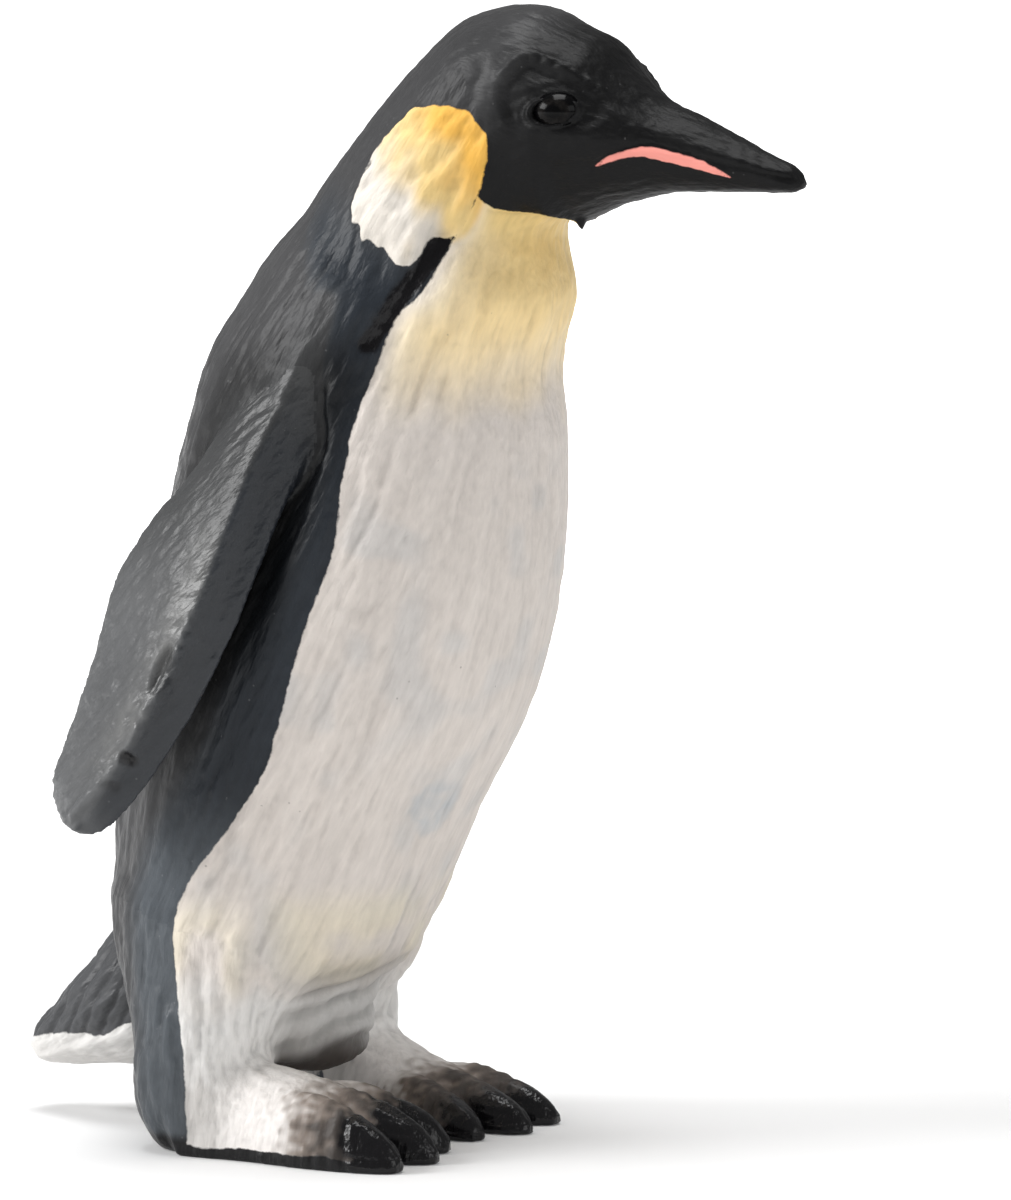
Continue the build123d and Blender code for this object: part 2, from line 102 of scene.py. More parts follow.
# Right leg: height, distance out, half depth, half width; foot and toes: reach, half width, height
LEG_FOOT = (-8.5, 11.2)
LEG_SECTIONS = [
    (0.0, 8.5, 2.3, 2.1),
    (1.0, 8.5, 3.1, 2.9),
    (3.0, 8.5, 3.85, 3.7),
    (8.0, 8.4, 4.3, 3.75),
    (11.5, 7.6, 5.5, 3.9),
    (15.5, 6.6, 6.2, 3.9),
]
TOE_IN = 8.0
FOOT_SECTIONS = [
    (0.0, 3.5, 6.2),
    (4.5, 3.9, 5.8),
    (10.0, 4.7, 4.3),
    (12.4, 4.2, 2.1),
]
SOLE_DEPTH = 0.5
TOE_START = 10.0
TOE_GAP = 2.9
TOE_SPREAD = 10.5
SIDE_TOE_SETBACK = 0.8
TOE_SECTIONS = [
    (-3.0, 1.5, 3.6),
    (0.0, 1.95, 4.5),
    (3.8, 1.7, 3.3),
    (5.8, 1.1, 2.0),
    (6.6, 0.5, 0.9),
]

# Tail: root, droop in degrees, then reach, rise off the straight line, half height and half width
TAIL_ROOT = (14.1, 12.0)
TAIL_DROOP = 31.0
TAIL_SECTIONS = [
    (0.0, 0.0, 5.4, 4.4),
    (5.0, 0.0, 4.8, 4.4),
    (8.5, -0.3, 4.0, 4.3),
    (12.0, -0.1, 2.8, 3.4),
    (15.4, 0.25, 1.45, 2.2),
    (16.3, 0.3, 0.7, 1.4),
]

# Underside between the legs: centre y, height, half depth, half width
UNDERSIDE = [
    (10.4, 11.6, 6.3, 6.2),
    (10.4, 9.0, 6.3, 6.2),
    (10.0, 5.4, 5.4, 4.4),
    (10.0, 4.6, 4.2, 3.2),
]

# Fillets where the pieces run together
UNDERSIDE_FILLET = 1.2
ANKLE_FILLET = 1.2
TOE_FILLET = 0.5
LEG_FILLET = 3.0
TAIL_FILLET = 1.8
GAP_FILLET = 0.9
SHOULDER_FILLET = 2.2
FLIPPER_FILLET = 0.5

# Right eye
EYE_PLACE = np.array([-4.8, -13.0, 66.4])
EYE_RADIUS = 1.42
EYE_LOOK = np.array([-1.0, -0.25, 0.05])
CORNEA_BULGE = 0.06


def unit(vector):
    """Vector of length one."""
    return np.asarray(vector, float) / np.linalg.norm(vector)


def ease(low, high, value):
    """Smooth change from 0 at low to 1 at high."""
    share = np.clip((value - low) / (high - low), 0.0, 1.0)
    return share * share * (3.0 - 2.0 * share)


def window(start, top, fall, end, value):
    """One from top to fall, running smoothly to zero at start and end."""
    return ease(start, top, value) * ease(end, fall, value)


def bell(value, width):
    """One at zero, falling off to each side over about a width."""
    return np.exp(-((value / width) ** 2))


def circle(count):
    """Angles of a full turn in so many steps."""
    return np.linspace(0, 2 * math.pi, count, endpoint=False)


def on_floor(turn):
    """Forward and sideways directions on the floor, turned by so many degrees."""
    angle = math.radians(turn)
    along = np.array([math.sin(angle), -math.cos(angle), 0.0])
    across = np.array([math.cos(angle), math.sin(angle), 0.0])
    return along, across


def through(stations, count):
    """Smooth curve through rows of numbers, spaced by the distance between their first two columns."""
    rows = np.asarray(stations, float)
    gaps = np.linalg.norm(np.diff(rows[:, :2], axis=0), axis=1) ** 0.5
    knots = np.concatenate([[0.0], np.cumsum(gaps)])
    slopes = np.gradient(rows, knots, axis=0)
    places = np.linspace(0.0, knots[-1], count)
    index = np.clip(np.searchsorted(knots, places, side="right") - 1, 0, len(rows) - 2)
    width = (knots[index + 1] - knots[index])[:, None]
    share = ((places - knots[index]) / width[:, 0])[:, None]
    start, end = rows[index], rows[index + 1]
    return (
        start * (1 + 2 * share) * (1 - share) ** 2
        + slopes[index] * width * share * (1 - share) ** 2
        + end * share**2 * (3 - 2 * share)
        - slopes[index + 1] * width * share**2 * (1 - share)
    )


def tube(rings):
    """Vertices and triangles of a closed body through rings of points."""
    rings = np.asarray(rings, float)
    count, around = rings.shape[:2]
    points = np.vstack([rings.reshape(-1, 3), rings[0].mean(0), rings[-1].mean(0)])
    here = np.arange(around)
    there = (here + 1) % around
    triangles = []
    for ring in range(count - 1):
        a, b = ring * around, (ring + 1) * around
        triangles.append(np.stack([a + here, a + there, b + there], 1))
        triangles.append(np.stack([a + here, b + there, b + here], 1))
    first, last = count * around, count * around + 1
    triangles.append(np.stack([there, here, np.full(around, first)], 1))
    end = (count - 1) * around
    triangles.append(np.stack([end + here, end + there, np.full(around, last)], 1))
    return points, np.vstack(triangles)


def field(body):
    """Distance to the surface of a closed body on the right half of the grid, negative inside."""
    points, triangles = body
    grid = openvdb.FloatGrid.createLevelSetFromPolygons(
        points.astype(np.float32),
        triangles=triangles.astype(np.uint32),
        transform=openvdb.createLinearTransform(voxelSize=VOXEL),
        exBandWidth=BAND,
        inBandWidth=BAND,
    )
    values = np.empty(SHAPE, np.float32)
    grid.copyToArray(values, ijk=tuple(int(v) for v in LOW))
    return values


def merged(a, b, blend):
    """Union of two fields with a fillet about as wide as blend."""
    share = np.clip(0.5 + 0.5 * (b - a) / blend, 0.0, 1.0)
    return b + (a - b) * share - blend * share * (1 - share)


def oval(centre, along, half_along, half_width, count=RING_POINTS):
    """Ring of points round a centre, half_width across and half_along in a direction."""
    angles = circle(count)[:, None]
    ring = half_width * np.cos(angles) * np.array([1.0, 0.0, 0.0])
    return np.asarray(centre) + ring + half_along * np.sin(angles) * np.asarray(along)


def trunk_body():
    """Trunk, head and bill."""
    rings = []
    for y, z, tilt, half_depth, half_width in through(SPINE, 420):
        along = (0.0, math.cos(math.radians(tilt)), math.sin(math.radians(tilt)))
        rings.append(oval((0.0, y, z), along, half_depth, half_width, TRUNK_RING_POINTS))
    return tube(rings)


def underside_body():
    """Underside of the trunk, between the legs."""
    rings = []
    for y, z, half_depth, half_width in through(UNDERSIDE, 60):
        rings.append(oval((0.0, y, z), BACK, half_depth, half_width)[::-1])
    return tube(rings)


def flipper_frame():
    """Root, lengthwise, forward and outward directions of the right flipper."""
    spread, sweep, turn = (math.radians(a) for a in (FLIPPER_SPREAD, FLIPPER_SWEEP, FLIPPER_TURN))
    along = unit((-math.tan(spread), math.tan(sweep), -1.0))
    face = np.array([-math.cos(turn), math.sin(turn), 0.0])
    forward = unit(np.cross(face, along))
    return np.array(FLIPPER_ROOT), along, forward, np.cross(along, forward)


def flipper_body():
    """Right flipper: a rounded blade, thick at its leading edge."""
    root, along, forward, outward = flipper_frame()
    rings = []
    for reach, bow, trail, lead, thickness in through(FLIPPER_SECTIONS, 160):
        taper = min(1.0, thickness / TAPER_FROM)
        rise = RIDGE_RISE * taper
        crest = bow + rise
        outline = np.array(
            [
                (-trail, bow - 0.55 * taper),
                (-trail * 0.5, bow + rise * 0.4),
                (0.0, crest - 0.08 * taper),
                (lead - 0.8, crest + 0.02 * taper),
                (lead, crest - 0.18 * taper),
                (lead + NOSE_REACH * 0.25, crest - thickness * 0.2),
                (lead + NOSE_REACH * 0.7, crest - thickness * 0.6),
                (lead + NOSE_REACH, crest - thickness * 0.9),
                (lead + NOSE_REACH * 0.6, crest - thickness),
                (lead * 0.4, crest - thickness * 1.02),
                (-trail * 0.4, bow - thickness * 0.45),
            ]
        )
        closed = np.vstack([outline, outline, outline])
        smooth = through(closed, 3 * RING_POINTS)[RING_POINTS : 2 * RING_POINTS]
        rings.append(root + along * reach + smooth[:, :1] * forward + smooth[:, 1:] * outward)
    return tube(rings)


def arch_body(origin, turn, sections):
    """Low arched body on the floor, running forward from origin in the direction turn."""
    along, across = on_floor(turn)
    angles = circle(RING_POINTS)
    rings = []
    for reach, half_width, height in through(sections, 80):
        side = half_width * np.cos(angles)
        rise = np.where(np.sin(angles) > 0, height, SOLE_DEPTH) * np.sin(angles)
        ring = np.asarray(origin) + along * reach + side[:, None] * across
        ring[:, 2] += rise
        rings.append(ring)
    return tube(rings)


def foot_field():
    """Right leg, foot and toes, flat underneath."""
    rings = []
    for height, out, half_depth, half_width in through(LEG_SECTIONS, 80):
        rings.append(oval((-out, LEG_FOOT[1], height), BACK, half_depth, half_width))
    total = field(tube(rings))
    base = np.array([*LEG_FOOT, 0.0])
    total = merged(total, field(arch_body(base, TOE_IN, FOOT_SECTIONS)), ANKLE_FILLET)
    along, across = on_floor(TOE_IN)
    toes = None
    for toe in (-1, 0, 1):
        start = base + along * (TOE_START - abs(toe) * SIDE_TOE_SETBACK) + across * toe * TOE_GAP
        shape = field(arch_body(start, TOE_IN + toe * TOE_SPREAD, TOE_SECTIONS))
        toes = shape if toes is None else np.minimum(toes, shape)
    total = merged(total, toes, TOE_FILLET)
    floor = -(np.arange(LOW[2], HIGH[2] + 1) * VOXEL)
    return np.maximum(total, floor[None, None, :])


def tail_frame():
    """Lengthwise and upward directions of the tail."""
    droop = math.radians(TAIL_DROOP)
    along = np.array([0.0, math.cos(droop), -math.sin(droop)])
    return along, np.array([0.0, math.sin(droop), math.cos(droop)])


def tail_body():
    """Wedge tail, drooping from the rump."""
    along, up = tail_frame()
    rings = []
    for reach, rise, half_height, half_width in through(TAIL_SECTIONS, 80):
        centre = np.array([0.0, *TAIL_ROOT]) + reach * along + rise * up
        rings.append(oval(centre, up, half_height, half_width))
    return tube(rings)


def surface(values):
    """Quad mesh of the zero surface of a field given on the right half of the grid, both halves."""
    whole = np.concatenate([values, values[-2::-1]])
    grid = openvdb.FloatGrid(BAND * VOXEL)
    grid.copyFromArray(whole, ijk=tuple(int(v) for v in LOW))
    grid.transform = openvdb.createLinearTransform(voxelSize=VOXEL)
    points, quads = grid.convertToQuads(0.0)
    return points.astype(float), quads.astype(int)


def blended(table, low, high, share):
    """Values between the cells of a table, from the low and high corner of each place's cell."""
    total = np.zeros(len(share))
    for corner in np.ndindex(2, 2, 2):
        pick = np.where(corner, high, low)
        weight = np.prod(np.where(corner, share, 1 - share), axis=1)
        total += weight * table[pick[:, 0], pick[:, 1], pick[:, 2]]
    return total


def at(values, points):
    """Field values at points, read with linear interpolation; the left side reads the right one."""
    place = np.stack([-np.abs(points[:, 0]), points[:, 1], points[:, 2]], 1) / VOXEL - LOW
    place = np.clip(place, 0, np.array(SHAPE) - 1.001)
    corner = place.astype(int)
    return blended(values, corner, corner + 1, place - corner)


def normals_of(points, quads):
    """Unit normal of each vertex."""
    across = points[quads[:, 2]] - points[quads[:, 0]]
    along = points[quads[:, 3]] - points[quads[:, 1]]
    faces = np.cross(across, along)
    total = np.zeros_like(points)
    for corner in range(4):
        for axis in range(3):
            total[:, axis] += np.bincount(quads[:, corner], faces[:, axis], len(points))
    return total / np.linalg.norm(total, axis=1)[:, None]


def evened(values, quads, rounds):
    """Values with each vertex moved half way to the mean of its neighbours, some rounds over."""
    values = np.array(values, float)
    flat = values.reshape(len(values), -1)
    count = np.bincount(quads.ravel(), minlength=len(values))
    for _ in range(rounds):
        for column in range(flat.shape[1]):
            total = np.zeros(len(flat))
            for corner in range(4):
                ahead = flat[quads[:, (corner + 1) % 4], column]
                behind = flat[quads[:, (corner + 3) % 4], column]
                total += np.bincount(quads[:, corner], ahead + behind, len(flat))
            flat[:, column] += 0.5 * (total / (2 * count) - flat[:, column])
    return flat.reshape(values.shape)


def loop(outline, count=120):
    """Smooth closed line through the corners of an outline."""
    closed = np.vstack([outline, outline, outline, outline[:1]])
    steps = through(closed, 3 * count + 1)
    return np.vstack([steps[count : 2 * count], steps[count : count + 1]])


def distance_to(places, line):
    """Distance of places in a plane from an open line of points, up to REACH."""
    line = np.asarray(line, float)
    nearest = np.full(len(places), REACH)
    close = ((places > line.min(0) - REACH) & (places < line.max(0) + REACH)).all(1)
    spots = places[close]
    found = nearest[close]
    for start, end in zip(line[:-1], line[1:]):
        run = end - start
        share = np.clip((spots - start) @ run / max(run @ run, 1e-9), 0.0, 1.0)
        gap = spots - start - share[:, None] * run
        found = np.minimum(found, np.hypot(gap[:, 0], gap[:, 1]))
    nearest[close] = found
    return nearest


def inside_by(places, outline):
    """Distance of places in a plane from a closed line, positive inside it."""
    inside = np.zeros(len(places), bool)
    for start, end in zip(outline[:-1], outline[1:]):
        spans = (start[1] > places[:, 1]) != (end[1] > places[:, 1])
        rise = end[1] - start[1] if end[1] != start[1] else 1.0
        crossing = start[0] + (places[:, 1] - start[1]) / rise * (end[0] - start[0])
        inside ^= spans & (places[:, 0] < crossing)
    return np.where(inside, 1.0, -1.0) * distance_to(places, outline)


def value_noise(places):
    """Smooth noise from 0 to 1 with cells of size one."""
    corner = np.floor(places).astype(int)
    share = places - corner
    share = share * share * (3.0 - 2.0 * share)
    return blended(NOISE_TABLE, corner % NOISE_SIZE, (corner + 1) % NOISE_SIZE, share)


def strokes(places, flow, cell, length):
    """Noise drawn out into strokes along the flow, about one to each side of zero."""
    steps = np.linspace(-0.5, 0.5, max(5, int(length / cell * 1.5)))
    total = np.zeros(len(places))
    for step in steps:
        total += value_noise((places + flow * step * length) / cell)
    total = total / len(steps) - 0.5
    return np.clip(total / (2.2 * total.std()), -1.2, 1.2)


def tone(red, green, blue):
    """Linear colour from display values of 0 to 255."""
    share = np.array([red, green, blue]) / 255
    return np.where(share <= 0.04045, share / 12.92, ((share + 0.055) / 1.055) ** 2.4)


def painted(colours, *coats):
    """Colours with coats laid over them in turn, each a colour and its share for each vertex."""
    for colour, share in coats:
        colours = colours + (colour - colours) * share[:, None]
    return colours


def shaded(colours, share):
    """Colours darkened by a share for each vertex."""
    return colours * (1 - share)[:, None]


def ridge_at(places, line, width):
    """One on a line, falling off to each side over about a width."""
    return bell(distance_to(places, line), width)


REACH = 5.0
NOISE_SIZE = 48
NOISE_TABLE = np.random.default_rng(11).random((NOISE_SIZE, NOISE_SIZE, NOISE_SIZE))

# Lines and outlines on the side of the figure: y, z
COAT_EDGE = [
    (9.9, -2.0), (10.0, 6.4), (10.4, 10.0), (10.9, 14.6), (10.4, 16.6), (7.7, 20.0),
    (3.9, 24.7), (2.5, 28.0), (0.5, 34.0), (-1.4, 40.0), (-2.1, 46.6), (-3.2, 50.8),
    (-4.2, 53.8), (-5.4, 55.1), (-6.7, 58.3), (-8.1, 61.1),
]
CHIN_EDGE = [
    (-8.1, 61.1), (-8.5, 60.5), (-9.7, 60.1), (-11.1, 59.9),
    (-12.0, 59.4), (-12.6, 58.4), (-13.4, 57.0), (-17.0, 52.0),
]
FRONT_CORNERS = [(-40.0, 54.0), (-40.0, -2.0), (9.9, -2.0)]
EAR_PATCH = [
    (-3.7, 66.3), (-5.6, 66.6), (-7.4, 66.3), (-8.5, 65.5), (-8.9, 64.2),
    (-8.1, 61.1), (-6.7, 58.6), (-5.6, 58.4), (-5.0, 57.2), (-4.2, 56.8),
    (-2.6, 57.8), (-1.0, 58.9), (-0.4, 60.3), (-0.8, 62.4), (-1.6, 64.6),
]
CHIN_LUMP = (-0.8, -12.4, 58.85)
CREASE = [(-7.2, 65.9), (-7.7, 67.3), (-8.1, 69.2)]
GLOSS_BAND = [(-6.1, 58.5), (-5.1, 56.3), (-4.1, 54.6), (-3.2, 52.9), (-2.6, 51.9)]
ORBIT = [
    (-9.3, 67.4), (-9.8, 68.8), (-10.9, 70.0), (-13.1, 69.3), (-15.4, 67.9),
    (-16.3, 66.2), (-15.4, 65.3), (-13.1, 65.1), (-10.1, 65.6),
]
BROW = [(-9.5, 68.6), (-10.8, 70.0), (-13.1, 69.3), (-15.4, 67.9)]
EYE_OPENING = (-13.05, 66.45)
EYE_HALF_LENGTH = 1.32
EYE_HALF_HEIGHT = 0.75
BEAD_SET_BACK = 0.2
BEAD_STRETCH = 1.22
EYE_TILT = math.radians(-7.0)
MOUTH = [
    (-15.4, 62.8), (-16.4, 63.7), (-18.4, 64.3), (-20.0, 64.0), (-21.8, 63.5),
    (-23.6, 62.5), (-21.8, 62.9), (-19.9, 63.3), (-18.1, 63.7), (-16.8, 63.5),
]
GAPE = [
    (-15.4, 62.8), (-16.4, 63.8), (-18.4, 64.4), (-20.0, 64.1),
    (-22.0, 63.6), (-24.3, 63.1), (-27.7, 62.4),
]
TAIL_EDGE = [(32.0, 3.4), (27.1, 5.1), (23.3, 5.7), (21.1, 5.7), (19.5, 6.6), (17.0, 7.0), (9.9, 6.0)]
TAIL_CORNERS = [(9.9, -2.0), (32.0, -2.0), (32.0, 3.4)]
VENT_HALF_WIDTH = 4.7
STAIN_PLACE = (-2.8, -3.2, 22.3)
STAIN_RADIUS = 2.2

# Lines on the outer face of the flipper: reach along the blade, forward
BLADE_RIDGE = [
    (0.3, 0.4), (4.7, 0.8), (9.0, 1.5), (14.7, 2.6),
    (18.9, 3.0), (25.4, 2.6), (31.6, 1.0), (34.3, -0.6),
]
BLADE_SCAR = (23.2, 2.5)
BLADE_FLASH = [(20.6, 3.3), (22.0, 3.0), (23.4, 3.1), (24.6, 2.7), (26.0, 2.3)]
SCAR_HALF_LENGTH = 2.1
SCAR_HALF_WIDTH = 0.75
BLADE_CREASE = [(2.0, -3.0), (6.1, -3.7), (13.3, -4.2)]
BLADE_PITS = [((29.2, 2.0), 0.55), ((31.2, 1.5), 0.15)]
GAP_RADIUS = 1.3

# Heights and depths of the relief, and where the claws, the soles and the far toes lie
STROKE_RELIEF = 0.18
FINE_RELIEF = 0.09
NAPE_TRIM = 0.5
FOREHEAD_TRIM = 0.5
BILL_TRIM = 0.55
THROAT_SWELL = 0.42
THROAT_HOLLOW = 0.25
HEAD_GRIT = 0.06
ORBIT_SINK = 0.4
BROW_RISE = 0.22
LID_RISE = 0.4
EYE_SINK = 0.4
LID_FOLD = 0.06
CREASE_DEPTH = 0.1
CHIN_LUMP_RISE = 0.5
CHIN_LUMP_RADIUS = 0.4
GAPE_DEPTH = 0.16
LIP_RISE = 0.1
EAR_RISE = 0.1
EAR_WRINKLE_RISE = 0.2
CHIN_STEP = 0.22
BAND_DEPTH = 0.25
RIDGE_BEAD = 0.1
RIDGE_FLASH = 0.14
RIDGE_GROOVE = 0.05
SCAR_DEPTH = 0.34
SCAR_FLASH = 0.2
BLADE_STROKES = 0.05
BLADE_CREASE_DEPTH = 0.12
PIT_RADIUS = 0.32
TAIL_GROOVE_DEPTH = 0.16
TAIL_GROOVE_PITCH = 1.35
HEM_FOLD_RISE = 0.15
TOE_WRINKLE_RISE = 0.07
TOE_WRINKLE_PITCH = 1.05
TOE_GRIT = 0.13
CLAW_LINE = 12.2
CLAW_GROOVE = 0.09
CLAW_STROKES = 0.05
FAR_CLAW_SETBACK = 1.0
FAR_TOE_FLATTENING = 0.2
FAR_TOE_SETBACK = 0.45
HOLLOW_DEPTH = 0.02
SOLE_EDGE = 0.75
PROBE_REACH = 0.3

# Whole surface
trunk = merged(field(trunk_body()), field(underside_body()), UNDERSIDE_FILLET)
flipper = field(flipper_body())
foot = foot_field()
tail = field(tail_body())
root, blade_along, blade_forward, blade_outward = flipper_frame()
grid_places = [np.arange(low, high + 1) * VOXEL for low, high in zip(LOW, HIGH)]
heights = grid_places[2][None, None, :]
grid_forward = sum(
    (places - start).reshape([-1 if axis == place else 1 for place in range(3)]) * step
    for axis, (places, start, step) in enumerate(zip(grid_places, root, blade_forward))
)
gap_radius = GAP_RADIUS * ease(0.5, 2, grid_forward) * ease(54, 44, heights)
crevice = np.hypot(trunk, flipper)
trunk = -merged(-trunk, crevice - gap_radius, GAP_FILLET)
skin = merged(trunk, flipper, FLIPPER_FILLET + SHOULDER_FILLET * ease(48, 54, heights))
skin = merged(skin, foot, LEG_FILLET)
skin = merged(skin, tail, TAIL_FILLET)
points, quads = surface(skin)
points = evened(points, quads, 2)
normals = normals_of(points, quads)
if np.mean(at(skin, points + PROBE_REACH * normals)) < 0:
    quads = quads[:, ::-1]
    normals = -normals

# Where each vertex lies; the left side is read as the right one
x_out = np.abs(points[:, 0])
y, z = points[:, 1], points[:, 2]
side_view = points[:, 1:]
mirror = np.where(points[:, :1] > 0, (-1, 1, 1), (1, 1, 1))
right_half = points * mirror
right_normals = normals * mirror
depths = np.stack([at(values, points) for values in (trunk, flipper, foot, tail)])
on_flipper = ease(0.9, -0.5, depths[1] - depths[0]) * ease(2, 1, depths[1])
on_foot = ease(0.9, -0.9, depths[2] - depths[0])
on_tail = ease(0.9, -0.9, depths[3] - np.minimum(depths[0], depths[2]))
on_head = ease(56, 62, z - 0.35 * y)
facing_out = ease(0.1, 0.5, -right_normals[:, 0])

blade = np.stack([(right_half - root) @ blade_along, (right_half - root) @ blade_forward], 1)
blade_reach = blade[:, 0]
blade_face = on_flipper * ease(-0.1, 0.4, right_normals @ blade_outward)
worn_blade = on_flipper * (points[:, 0] < 0)
foot_reach = (right_half[:, :2] - LEG_FOOT) @ on_floor(TOE_IN)[0][:2]
toes_forward = ease(7, 4, z) * ease(9, 6, y)
on_toes = on_foot * toes_forward

# Directions that the strokes follow
samples = through(SPINE, 120)
nearest = np.empty(len(points), int)
for block in np.array_split(np.arange(len(points)), 16):
    gap = side_view[block][:, None, :] - samples[None, :, :2]
    nearest[block] = (gap**2).sum(2).argmin(1)
tilts = np.radians(samples[nearest, 2])
lean = 0.5 * ease(60, 54, z)
flow = np.stack([np.zeros(len(points)), np.sin(tilts) + lean, -np.cos(tilts)], 1)
tail_along, tail_up = tail_frame()
foot_flow = np.array([0.0, 0.0, -1.0]) + toes_forward[:, None] * np.array([0.0, -1.0, 0.9])
blade_grain = blade_along - 0.6 * blade_forward
for share, direction in ((on_foot, foot_flow), (on_tail, tail_along), (on_flipper, blade_grain * mirror)):
    flow += (direction - flow) * share[:, None]
flow -= normals * (flow * normals).sum(1)[:, None]
flow /= np.linalg.norm(flow, axis=1)[:, None] + 1e-9

# Strokes and noises, with cells of some millimetres, shifted so that they differ
coarse = strokes(points, flow, 0.9, 5.0)
fine = strokes(points + 50.0, flow, 0.45, 2.6)
cloud = value_noise(points / 6.0)
patches = value_noise(points / 2.2 + 20.0)
grit = value_noise(points / 0.45 + 7.0)
blotch = patches - 0.5
speckle = grit - 0.5

# Painted regions, as distances from their edges, positive inside
coat_edge = through(COAT_EDGE, 90)
body_outline = np.vstack([coat_edge, through(CHIN_EDGE, 30), FRONT_CORNERS])
tail_outline = np.vstack([through(TAIL_EDGE, 40), TAIL_CORNERS])
body_depth = inside_by(side_view, body_outline)
under_depth = np.minimum(inside_by(side_view, tail_outline), VENT_HALF_WIDTH - x_out)
ear_depth = inside_by(side_view, loop(EAR_PATCH))
ear_depth += (0.3 * speckle + 0.22 * fine) * ease(-5, -2.5, y)
pale = np.maximum(np.maximum(body_depth, ear_depth), under_depth) - 8.0 * on_flipper
pale = np.where(on_foot > 0.5, np.minimum(pale, z - SOLE_EDGE - 0.5 * blotch), pale)
mouth = np.where(on_head > 0.5, inside_by(side_view, loop(MOUTH)), -REACH)

# Relief along the normals: strokes all over, weaker on the breast, head, flippers and toes
relief = STROKE_RELIEF * coarse * (0.3 + 0.7 * ease(-0.5, 0.5, pale))
relief += FINE_RELIEF * fine
breast = ease(0.55, 0.95, -normals[:, 1]) * window(12, 20, 46, 52, z)
relief *= 1 - 0.5 * breast
relief *= 1 - 0.65 * on_head
relief *= 1 - 0.7 * on_flipper
relief *= 1 + 0.6 * on_foot * ease(4, 6, z)
relief *= 1 - 0.8 * on_toes

# Trims of the outline at the throat, nape, forehead and chin
throat_swell = THROAT_SWELL * bell(z - 55, 2.2) - THROAT_HOLLOW * bell(z - 49.3, 2)
throat_swell *= (1 - on_head) * (1 - on_flipper) * ease(0.2, 0.7, -normals[:, 1])
nape = ease(56, 60, z) * ease(0.3, 0.8, normals @ unit((0.0, 0.8, 0.6)))
forehead = ease(-13.5, -16, y) * (1 - 0.35 * ease(-16, -20, y))
forehead = forehead * ease(-28, -25, y) + bell(y + 11.8, 1.9)
forehead *= on_head * ease(0.2, 0.7, normals[:, 2])
under_bill = window(-18.5, -14.5, -12.8, -11.4, y) * ease(0, -0.5, normals[:, 2])
relief += throat_swell
relief -= NAPE_TRIM * nape + FOREHEAD_TRIM * forehead + BILL_TRIM * under_bill

# Relief of the face: orbit, brow, lids, mouth, chin and ear patch
cheek = on_head * facing_out
eye_turn = np.array([[math.cos(EYE_TILT), -math.sin(EYE_TILT)], [math.sin(EYE_TILT), math.cos(EYE_TILT)]])
eye_across = (side_view - EYE_OPENING) @ eye_turn / (EYE_HALF_LENGTH, EYE_HALF_HEIGHT)
eye_ring = np.where(cheek > 0.5, np.hypot(eye_across[:, 0], eye_across[:, 1]), 9.0)
relief += HEAD_GRIT * on_head * speckle
relief -= ORBIT_SINK * cheek * ease(-0.1, 0.8, inside_by(side_view, loop(ORBIT)))
brow = ease(0.4, 0.9, cheek) * ridge_at(side_view, through(BROW, 30), 0.4)
relief += BROW_RISE * brow * (0.6 + 0.8 * grit)
relief += LID_RISE * bell(eye_ring - 1.12, 0.2)
relief -= EYE_SINK * ease(1, 0.75, eye_ring)
relief += LID_FOLD * bell(eye_ring - 1.75, 0.22)
relief -= CREASE_DEPTH * cheek * ridge_at(side_view, through(CREASE, 20), 0.4)
chin_lump = bell(np.linalg.norm(points - CHIN_LUMP, axis=1), CHIN_LUMP_RADIUS)
relief += CHIN_LUMP_RISE * chin_lump * (0.4 + grit)
relief -= GAPE_DEPTH * cheek * ridge_at(side_view, through(GAPE, 60), 0.17)
relief += LIP_RISE * cheek * ease(-0.2, 0.15, mouth)
ear_wrinkle = strokes(points + 9.0, unit((0.0, 0.6, -1.0)) * np.ones_like(points), 0.7, 2.2)
ear_carving = EAR_RISE + EAR_WRINKLE_RISE * ear_wrinkle
relief += cheek * ease(-0.2, 0.3, ear_depth) * ear_carving
chin_step = on_head * window(0, 0.35, 0.5, 3, body_depth) * ease(-8, -9, y)
relief -= CHIN_STEP * chin_step
band_gap = np.where(on_flipper < 0.5, distance_to(side_view, through(GLOSS_BAND, 40)), REACH)
relief -= BAND_DEPTH * facing_out * bell(band_gap, 0.6)

# Relief of the flippers: ridge, scar, flash, crease and pits
blade_ridge = through(BLADE_RIDGE, 60)
ridge_bead = RIDGE_BEAD + RIDGE_FLASH * ease(17, 21, blade_reach) * (0.3 + grit)
relief += ridge_bead * blade_face * ridge_at(blade, blade_ridge, 0.32)
relief -= RIDGE_GROOVE * blade_face * ridge_at(blade, blade_ridge + (0.0, 0.6), 0.3)
scar_ring = np.hypot(*((blade - BLADE_SCAR) / (SCAR_HALF_LENGTH, SCAR_HALF_WIDTH)).T)
scar_flash = ridge_at(blade, through(BLADE_FLASH, 40), 0.26) * (0.2 + 1.3 * grit)
relief -= SCAR_DEPTH * worn_blade * ease(1, 0.5, scar_ring)
relief += SCAR_FLASH * worn_blade * scar_flash
relief += BLADE_STROKES * on_flipper * strokes(points + 30.0, flow, 0.42, 1.0)
blade_crease = ease(0, 0.4, on_flipper) * ridge_at(blade, through(BLADE_CREASE, 30), 1.0)
relief -= BLADE_CREASE_DEPTH * blade_crease
for pit, depth in BLADE_PITS:
    relief -= depth * worn_blade * bell(np.hypot(*(blade - pit).T), PIT_RADIUS)

